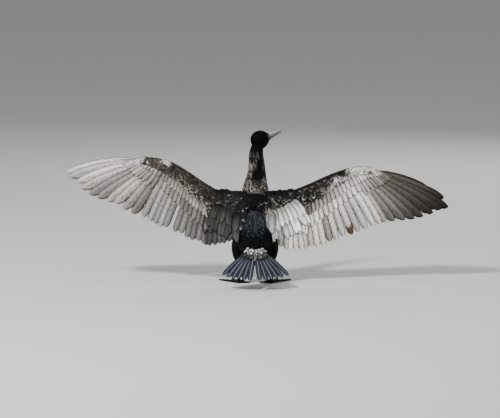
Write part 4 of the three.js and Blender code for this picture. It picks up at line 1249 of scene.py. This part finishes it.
# painted glints: the pale tips of the middle and upper rows stand for sun catching the coverts' edges
COVERT_ROWS = {
    "long": (
        fan_row(covert_angles, 40 - 8 * np.abs(covert_angles), 44),
        {"width": 12, "leading": 0.5, "tip": 0.35, "sunk": 3, "lift": 3.6, "step": 0, "stray": 0.14}, (12, 5),
        [(0.004, 0.004, 0.005), (0.07, 0.07, 0.078)], 0.5),
    "middle": (
        fan_row(short_angles, 23 + 5 * np.sin(short_angles * 37), 30, 19),
        {"width": 9, "leading": 0.5, "tip": 0.55, "sunk": 4, "lift": 6.0, "step": 0, "stray": 0.26, "curl": 1.8},
        (9, 5), [(0.12, 0.12, 0.125), (0.54, 0.54, 0.54)], 0.6),
    "upper": (
        fan_row(short_angles, 18 + 5 * np.sin(short_angles * 23), 30, 10),
        {"width": 8, "leading": 0.5, "tip": 0.55, "sunk": 5, "lift": 8.5, "step": 0, "stray": 0.26, "curl": 1.8},
        (9, 5), [(0.1, 0.1, 0.104), (0.5, 0.5, 0.5)], 0.7),
    "rump": (
        fan_row(short_angles, 22 + 3 * np.sin(short_angles * 31), 30, -4),
        {"width": 10, "leading": 0.5, "tip": 0.5, "sunk": 7, "lift": 11.5, "step": 0, "stray": 0.16, "curl": 1.5},
        (9, 5), [(0.002, 0.002, 0.003), (0.006, 0.006, 0.007)], 0.4),
}
tail_finish = feather_finish(
    "tail_feather", 15.0, 0.05, (0.003, 0.003, 0.005), 0.85, 0.36, pitch=150.0, gloss=0.3)
chance = np.random.default_rng(41)


def fan_vanes(table):
    """The vanes of a table of tail rows, each row with its tones and the spread of their brightness"""
    made = []
    for feathers, row, shape, tones, spread in table.values():
        def tint_of(spot):
            # painted shade: each tail vane darkened to both edges, as its cupped form would be shaded
            tint = mix(np.array(tones[0]), np.array(tones[1]), spot[..., 1]) * painted_cup_shade(spot, 0.4)
            return tint * np.exp(chance.normal(0, spread, (len(spot), 1, 1)))

        up_way = row.get("face", 1) * np.array([0, -math.sin(TAIL_DROOP), math.cos(TAIL_DROOP)])
        made.append(vane_batch(tail_point, feathers, row, chance, shape, up_way, tint_of))
    return made


tail_fan = join_rows("tail_fan", fan_vanes(TAIL_ROWS), tail_finish, "tail_feathers")
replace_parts(tail_fan, "tail")
join_rows("tail_coverts", fan_vanes(COVERT_ROWS), covert_finish, "tail_feathers")
TAIL_FLESH = {
    "path": tail_point(np.zeros(4), -np.array([-20, 0, 18, 34]), np.zeros(4)),
    "width": [17, 19, 16, 10],
    "height": [4, 6, 4.5, 2],
    "side": (1, 0, 0),
}
flesh_points, flesh_quads = capped_tube(TAIL_FLESH, 0.0, 16, 32)
new_piece(
    "tail_root", flesh_points, flesh_quads, skin_finish, "plumage", tint=np.ones_like(flesh_points) * BLACK * 2)

# Bill: two horny halves over bone, the upper one ridged above, grooved along its sides and hooked at
# the tip. The bare pouch of creased skin hangs from the lower half and runs back to the throat.
BILL_REACH = HEAD_LENGTH + np.array([-8, 8, 24, 40, 52, 60, 65.5, 67.5])
UPPER_BILL = {
    "path": head_point(BILL_REACH, np.zeros(8), np.array([2.8, 2.3, 1.5, 1, 1.1, 0.9, -2.2, -8.4]) - 2),
    "width": [9.6, 8.8, 7.2, 6, 5.3, 4.8, 3.6, 1.1],
    "height": [8.6, 7.3, 5.8, 4.9, 4.6, 4.6, 4.7, 2.6],
    "side": head_right,
    "square": 2.2,
}
LOWER_BILL = {
    "path": head_point(BILL_REACH[:6], np.zeros(6), np.array([-9, -8.1, -6.9, -6.1, -5.8, -5.6]) - 2.7),
    "width": [10, 9, 7.2, 5.6, 4.4, 2.6],
    "height": [5.8, 5.1, 4.2, 3.4, 2.9, 1.8],
    "side": head_right,
}
POUCH = {
    "path": head_point(np.array([22, 40, 58, 74, 90]), np.zeros(5), np.array([-12, -16, -15.5, -12.5, -10.5])),
    "width": [9, 15, 13.5, 8.5, 3.5],
    "height": [8, 12, 9.5, 5.5, 2],
    "side": head_right,
}


def upper_relief(t, angle):
    """A ridge along the top, a groove down each side, thin cutting edges and faint growth rings"""
    from_top = np.abs((angle - np.pi / 2 + np.pi) % (2 * np.pi) - np.pi)
    ridge = 0.7 * np.exp(-(from_top / 0.4) ** 2) * (1 - t ** 4)
    groove = -0.75 * np.exp(-((from_top - 0.85) / 0.17) ** 2) * ramp(t, 0.95, 0.7)
    edge = 0.45 * np.exp(-((from_top - 1.95) / 0.2) ** 2)
    return ridge + groove + edge + 0.06 * np.sin(t * 95) * ramp(from_top, 1.6, 0.8)


def lower_relief(t, angle):
    """Thin cutting edges above and a shallow groove along each side"""
    from_top = np.abs((angle - np.pi / 2 + np.pi) % (2 * np.pi) - np.pi)
    edge = 0.4 * np.exp(-((from_top - 1.05) / 0.2) ** 2)
    return edge - 0.4 * np.exp(-((from_top - 1.9) / 0.2) ** 2) + 0.05 * np.sin(t * 80)


def pouch_relief(t, angle):
    """Creases that run along the pouch and wander a little, deeper underneath"""
    under = ramp(-np.sin(angle), -0.2, 0.8)
    crease = np.abs(np.sin(angle * 9 + 1.6 * np.sin(t * 7))) ** 0.6 - 0.7
    return 0.45 * under * crease * np.sin(np.pi * t) + 0.12 * np.sin(t * 60 + 3 * np.sin(angle * 3))


def leather_finish(name, colours, cell_scale, cell_depth, roughness, gloss, coat=0.0):
    """Material of horn or bare skin: two colours mottled by noise, darker in its cells, bumped by both"""
    finish, tree, shader = new_finish(name)
    place = add_node(tree, "TexCoord").outputs["Object"]
    mottle = add_node(tree, "TexNoise", Vector=place, Scale=95.0, Detail=6.0, Roughness=0.62)
    share = add_node(tree, "MapRange", Value=mottle.outputs[0], From_Min=0.36, From_Max=0.64)
    blend = mix_node(tree, share.outputs[0], (*colours[0], 1), (*colours[1], 1))
    cells = add_node(tree, "TexVoronoi", {"feature": "DISTANCE_TO_EDGE"}, Vector=place, Scale=cell_scale)
    gap = add_node(tree, "MapRange", Value=cells.outputs["Distance"], From_Max=0.16, To_Min=1.0, To_Max=0.0)
    gap_share = math_node(tree, "MULTIPLY", gap.outputs[0], cell_depth)
    worn = mix_node(tree, gap_share, blend, (*colours[2], 1))
    height = math_node(tree, "SUBTRACT", mottle.outputs[0], gap_share)
    bump = add_node(tree, "Bump", Strength=0.4, Distance=0.0004, Height=height)
    rough = add_node(tree, "MapRange", Value=mottle.outputs[0], To_Min=roughness - 0.1, To_Max=roughness + 0.12)
    set_inputs(
        tree, shader, Base_Color=worn, Normal=bump.outputs[0], Roughness=rough.outputs[0],
        Specular_IOR_Level=gloss, Coat_Weight=coat, Coat_Roughness=0.2)
    return finish


def tube_piece(name, tube, relief, rows, columns, finish, slot):
    """Piece made of one closed tube with its relief, its faces turned outwards"""
    points, quads = capped_tube(tube, relief, rows, columns)
    grid = np.roll(np.arange(columns), 1)
    ring, following = points[rows // 2], points[rows // 2 + 1]
    normals = np.cross(following - ring, ring[grid] - ring)
    if (normals * (ring - ring.mean(axis=0))).sum() < 0:
        quads = quads[:, ::-1]
    return new_piece(name, points, quads, finish, slot)


upper_horn = leather_finish(
    "upper_horn", [(0.25, 0.26, 0.29), (0.4, 0.415, 0.45), (0.12, 0.12, 0.135)], 90.0, 0.3, 0.36, 0.45, 0.12)
lower_horn = leather_finish(
    "lower_horn", [(0.3, 0.29, 0.26), (0.46, 0.45, 0.42), (0.2, 0.18, 0.15)], 90.0, 0.25, 0.38, 0.45, 0.1)
pouch_finish = leather_finish(
    "pouch_skin", [(0.3, 0.2, 0.08), (0.42, 0.31, 0.15), (0.16, 0.1, 0.045)], 900.0, 0.32, 0.5, 0.4)
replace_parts(tube_piece("bill_upper_horn", UPPER_BILL, upper_relief, 90, 72, upper_horn, "bill"), "bill_upper")
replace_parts(tube_piece("bill_lower_horn", LOWER_BILL, lower_relief, 70, 60, lower_horn, "bill"), "bill_lower")
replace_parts(tube_piece("throat_pouch", POUCH, pouch_relief, 90, 120, pouch_finish, "pouch"), "gular_pouch")

# Bare skin between each eye and the bill: dark, thin and folded, narrow at the eye and wider at the
# bill, with the corner of the mouth as a crease along it. It lies between the edges of the feathers,
# its rim sunk under them.
FACE_ROWS, FACE_COLUMNS = 60, 40
FACE_SUNK = 1.7
FACE_UNDER = 3
GAPE_DROP = 4.6
GAPE_HALF = 0.7
lore_finish = leather_finish(
    "lore_skin", [(0.02, 0.023, 0.031), (0.045, 0.048, 0.058), (0.006, 0.006, 0.008)], 900.0, 0.3, 0.5, 0.3)
FACE_REACH = np.array([44, 54, 64, 72, 78, 84, 90, 96])
FACE_DROP = np.array([-1.2, -1.5, -1.8, -2, -2.2, -2.6, -3, -3.4])
FACE = {
    "path": head_point(FACE_REACH, np.zeros(8), FACE_DROP),
    "width": [26.8, 24.9, 19.2, 14.6, 12.1, 10.4, 9.0, 7.6],
    "height": [28.4, 26.3, 21, 16.5, 14.6, 14, 13.4, 12],
    "side": head_right,
}
for side, side_name in SIDES:
    reach, share = np.meshgrid(
        np.linspace(LORE_START, LORE_END, FACE_ROWS), np.linspace(0, 1, FACE_COLUMNS), indexing="ij")
    upper, lower = lore_edges(reach)
    rise = lower + (upper - lower) * share
    t = np.interp(reach, FACE_REACH, np.linspace(0, 1, 8))
    from_path = rise - np.interp(reach, FACE_REACH, FACE_DROP)
    angle = np.arcsin(np.clip(from_path / spline(FACE["height"], t), -1, 1))
    angle = angle if side > 0 else np.pi - angle
    gape = np.exp(-((rise + GAPE_DROP + 0.05 * (reach - 84)) / GAPE_HALF) ** 2) * ramp(reach, 60, 72)
    folds = 0.16 * np.sin(rise * 2.6 + 1.4 * np.sin(reach * 0.5)) - 0.9 * gape
    edge = np.minimum(np.minimum(share, 1 - share) * 7, 1) * np.minimum((LORE_END - reach) / 3, 1)
    top = tube_point(FACE, t, angle, -FACE_SUNK + (1.2 + folds) * edge)
    bottom = tube_point(FACE, t, angle, -FACE_UNDER)
    points, one = lens_points(top[None], bottom[None]), lens_quads(FACE_ROWS, FACE_COLUMNS)
    quads = one[:, ::-1] if faces_inward(points, one, side * head_right) else one
    new_piece(f"face_skin_{side_name}", points[0], quads, lore_finish, "plumage")

# Eyes: wet balls with a clear bulge over a green iris and a round pupil, each in two rings of bare
# lid, the outer one beaded. They sit half sunk in the sides of the head.
EYE_ROWS, EYE_COLUMNS = 40, 64
LID_RINGS = {"inner": (5.3, 0.6, 2.6, 0.0), "outer": (6.3, 0.7, 2.3, 0.25)}
LID_TURNS, LID_SECTIONS = 168, 12
LID_BEADS = 28
eye_finish, eye_tree, eye_shader = new_finish("eye_wet")
eye_axes = add_node(eye_tree, "SeparateXYZ", i0=add_node(eye_tree, "UVMap", {"uv_map": "vane"}).outputs[0])
eye_streaks = add_node(
    eye_tree, "TexNoise", {"noise_dimensions": "2D"}, Scale=9.0, Detail=3.0,
    Vector=add_node(eye_tree, "CombineXYZ", i0=math_node(eye_tree, "MULTIPLY", eye_axes.outputs[0], 9.0),
                    i1=eye_axes.outputs[1]).outputs[0])
eye_ramp = add_node(eye_tree, "ValToRGB", i0=math_node(
    eye_tree, "ADD", eye_axes.outputs[1],
    math_node(eye_tree, "MULTIPLY", math_node(eye_tree, "SUBTRACT", eye_streaks.outputs[0], 0.5), 0.03)))
eye_stops = [(0.0, (0.001, 0.001, 0.001)), (0.13, (0.001, 0.001, 0.001)), (0.145, (0.002, 0.016, 0.013)),
             (0.2, (0.006, 0.045, 0.034)), (0.27, (0.003, 0.024, 0.018)), (0.3, (0.002, 0.003, 0.003)),
             (1.0, (0.02, 0.016, 0.013))]
for stop, (place_on_ramp, colour) in enumerate(eye_stops):
    mark = eye_ramp.color_ramp.elements[stop] if stop < 1 else eye_ramp.color_ramp.elements.new(place_on_ramp)
    mark.position = place_on_ramp
    mark.color = (*colour, 1)
eye_ramp.color_ramp.elements.remove(eye_ramp.color_ramp.elements[-1])
set_inputs(
    eye_tree, eye_shader, Base_Color=eye_ramp.outputs[0], Roughness=0.12, Coat_Weight=1.0, Coat_Roughness=0.02)
lid_finish = leather_finish(
    "eyelid", [(0.02, 0.024, 0.028), (0.05, 0.06, 0.065), (0.006, 0.006, 0.007)], 1400.0, 0.4, 0.42, 0.4)


def eye_ball(centre, outward):
    """Ball with a low bulge over the iris, by its angle from the outward pole and the turn round it"""
    polar, turn = np.meshgrid(
        np.linspace(0.001, np.pi - 0.001, EYE_ROWS), np.linspace(0, 2 * np.pi, EYE_COLUMNS), indexing="ij")
    radius = EYE_RADIUS * (1 + 0.07 * np.exp(-(polar / 0.55) ** 2))
    points = centre + (radius * np.cos(polar))[..., None] * outward
    points = points + (radius * np.sin(polar) * np.cos(turn))[..., None] * bill_way
    points = points + (radius * np.sin(polar) * np.sin(turn))[..., None] * head_up
    return points, np.stack([turn / (2 * np.pi), polar / np.pi], -1)


def ring_round(centre, outward, radius, thick, forward, beads):
    """Ring of round section about the eye's axis, its thickness swelling in beads around it"""
    turn, section = np.meshgrid(
        np.linspace(0, 2 * np.pi, LID_TURNS, endpoint=False),
        np.linspace(0, 2 * np.pi, LID_SECTIONS, endpoint=False), indexing="ij")
    size = thick * (1 - beads + beads * np.abs(np.sin(turn * LID_BEADS / 2)))
    reach = radius + size * np.cos(section)
    points = centre + (forward + size * np.sin(section))[..., None] * outward
    points = points + (reach * np.cos(turn))[..., None] * bill_way * 1.1
    return points + (reach * np.sin(turn))[..., None] * head_up * 0.94


for side, side_name in SIDES:
    outward = side * head_right
    ball, ball_uv = eye_ball(EYES[side], outward)
    quads = grid_quads(EYE_ROWS, EYE_COLUMNS)
    middle = ball[EYE_ROWS // 2]
    turned = (np.cross(ball[EYE_ROWS // 2 + 1, 0] - middle[0], middle[1] - middle[0]) * (middle[0] - EYES[side])).sum()
    eye = new_piece(
        f"eye_ball_{side_name}", ball, quads if turned < 0 else quads[:, ::-1], eye_finish, "eye", {"vane": ball_uv})
    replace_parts(eye, f"eye_{side_name}")
    for lid_name, (radius, thick, forward, beads) in LID_RINGS.items():
        ring = ring_round(EYES[side], outward, radius, thick, forward, beads)
        quads = grid_quads(LID_TURNS + 1, LID_SECTIONS, closed=True) % (LID_TURNS * LID_SECTIONS)
        new_piece(
            f"lid_{lid_name}_{side_name}", ring, quads if side > 0 else quads[:, ::-1], lid_finish, "plumage")

# Legs and feet: short scaly shanks, four long toes joined by webs, and curved claws. The skin is
# black, with square scutes down the front and over each toe.
SHANKS = {
    side: {
        "path": [(side * 52, y, z) for y, z in ((-25, 76), (-26.5, 66), (-21, 52), (-15, 38), (-9, 23), (-3, 8))],
        "width": [3, 6.6, 4.9, 4.6, 4.8, 6.4],
        "height": [4, 8.6, 6.9, 6.5, 6.6, 7.6],
        "side": (1, 0, 0),
    }
    for side in (1, -1)
}
FOOT_JOINT = (52, -3)
TOES = {"hallux": (82, 34, 2), "inner": (14, 62, 3), "middle": (-14, 86, 4), "outer": (-40, 94, 5)}
TOE_HALF = [6, 4.6, 4, 3.4, 2.6]
CLAW = 9
SCUTE = 2.6
WEB_REACH = 0.93
WEB_HOLLOW = 0.22
WEB_ACROSS, WEB_ALONG = 33, 40
WEB_TOP, WEB_BOTTOM = 1.5, 0.3
leg_finish = leather_finish(
    "leg_skin", [(0.007, 0.007, 0.008), (0.017, 0.016, 0.016), (0.003, 0.003, 0.003)], 520.0, 0.8, 0.72, 0.1)
claw_finish = leather_finish(
    "claw_horn", [(0.012, 0.012, 0.012), (0.03, 0.028, 0.026), (0.006, 0.006, 0.006)], 200.0, 0.2, 0.3, 0.5)


def scutes(count, depth):
    """Relief of plates across the top: each rises quickly at its near edge and falls slowly away"""
    def relief(t, angle):
        share = (t * count) % 1
        over = ramp(np.sin(angle), 0.1, 0.6)
        return depth * over * (ramp(share, 0, 0.16) - 0.5 * share) + 0.2 * depth * np.sin(angle * 9) * (1 - over)
    return relief


def toe_point(side, toe, share, rise):
    """Point over the ground at a share of a toe's length, which points the toe's heading from +Y"""
    heading, length, _ = TOES[toe]
    heading = math.radians(heading)
    share, rise = np.broadcast_arrays(share, rise)
    x = side * (FOOT_JOINT[0] - length * share * math.sin(heading))
    return np.stack([x, FOOT_JOINT[1] + length * share * math.cos(heading), rise], -1)


def toe_side(side, toe):
    """Level direction across a toe"""
    heading = math.radians(TOES[toe][0])
    return math.cos(heading), side * math.sin(heading), 0


def toe_tube(side, toe):
    """Tube along a toe, thicker at each of its joints and flat enough below to stand on the ground"""
    joints = TOES[toe][2]
    t = np.linspace(0, 1, 25)
    half = spline(TOE_HALF, t) * (1 + 0.09 * np.cos(2 * np.pi * joints * t))
    return {
        "path": toe_point(side, toe, t, half * 0.94 + 0.25),
        "width": half,
        "height": half * 0.9,
        "side": toe_side(side, toe),
    }


def claw_tube(side, toe):
    """Tube of a claw, which starts inside the toe's end, rises a little and curves down to its point"""
    t = np.linspace(0, 1, 7)
    return {
        "path": toe_point(
            side, toe, 0.985 + (CLAW + 1) / TOES[toe][1] * t, 3.0 + 1.6 * np.sin(np.pi * t * 0.9) - 2.2 * t ** 2),
        "width": 2.1 * (1 - t ** 1.6) + 0.25,
        "height": 2.3 * (1 - t ** 1.8) + 0.25,
        "side": toe_side(side, toe),
    }


def web_sheet(side, first, second):
    """Sheet between two toes, from the ankle out to a hollow edge, lightly pleated along the toes"""
    f, r = np.meshgrid(np.linspace(0, 1, WEB_ACROSS), np.linspace(0.03, 1, WEB_ALONG), indexing="ij")
    near, far = toe_point(side, first, WEB_REACH, 0), toe_point(side, second, WEB_REACH, 0)
    outer = near * (1 - f[..., None]) + far * f[..., None]
    hub = toe_point(side, first, 0, 0)
    points = hub + (outer - hub) * (r * (1 - WEB_HOLLOW * np.sin(np.pi * f)))[..., None]
    pleat = 0.22 * np.sin(f * 40) * r * np.sin(np.pi * f)
    top, bottom = points.copy(), points.copy()
    top[..., 2] = WEB_TOP + pleat
    bottom[..., 2] = WEB_BOTTOM
    points, quads = lens_points(top[None], bottom[None])[0], lens_quads(WEB_ACROSS, WEB_ALONG)
    a, b, d = (points[quads[WEB_ACROSS * WEB_ALONG // 2, corner]] for corner in (0, 1, 3))
    return points, quads if np.cross(b - a, d - a)[2] > 0 else quads[:, ::-1]


for side, side_name in SIDES:
    shank = tube_piece(f"shank_skin_{side_name}", SHANKS[side], scutes(15, 0.5), 90, 40, leg_finish, "legs")
    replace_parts(shank, f"shank_{side_name}")
    foot_parts, claw_parts = [], []
    for toe, (_, length, _) in TOES.items():
        points, quads = capped_tube(toe_tube(side, toe), scutes(round(length / SCUTE), 0.42), 110, 28)
        foot_parts.append((points, quads[:, ::-1]))
        points, quads = capped_tube(claw_tube(side, toe), 0.0, 24, 16)
        claw_parts.append((points, quads[:, ::-1]))
    names = list(TOES)
    foot_parts += [web_sheet(side, first, second) for first, second in zip(names, names[1:])]
    foot = new_piece(f"foot_skin_{side_name}", *joined(foot_parts), leg_finish, "legs")
    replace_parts(foot, f"foot_{side_name}")
    new_piece(f"claws_{side_name}", *joined(claw_parts), claw_finish, "legs")
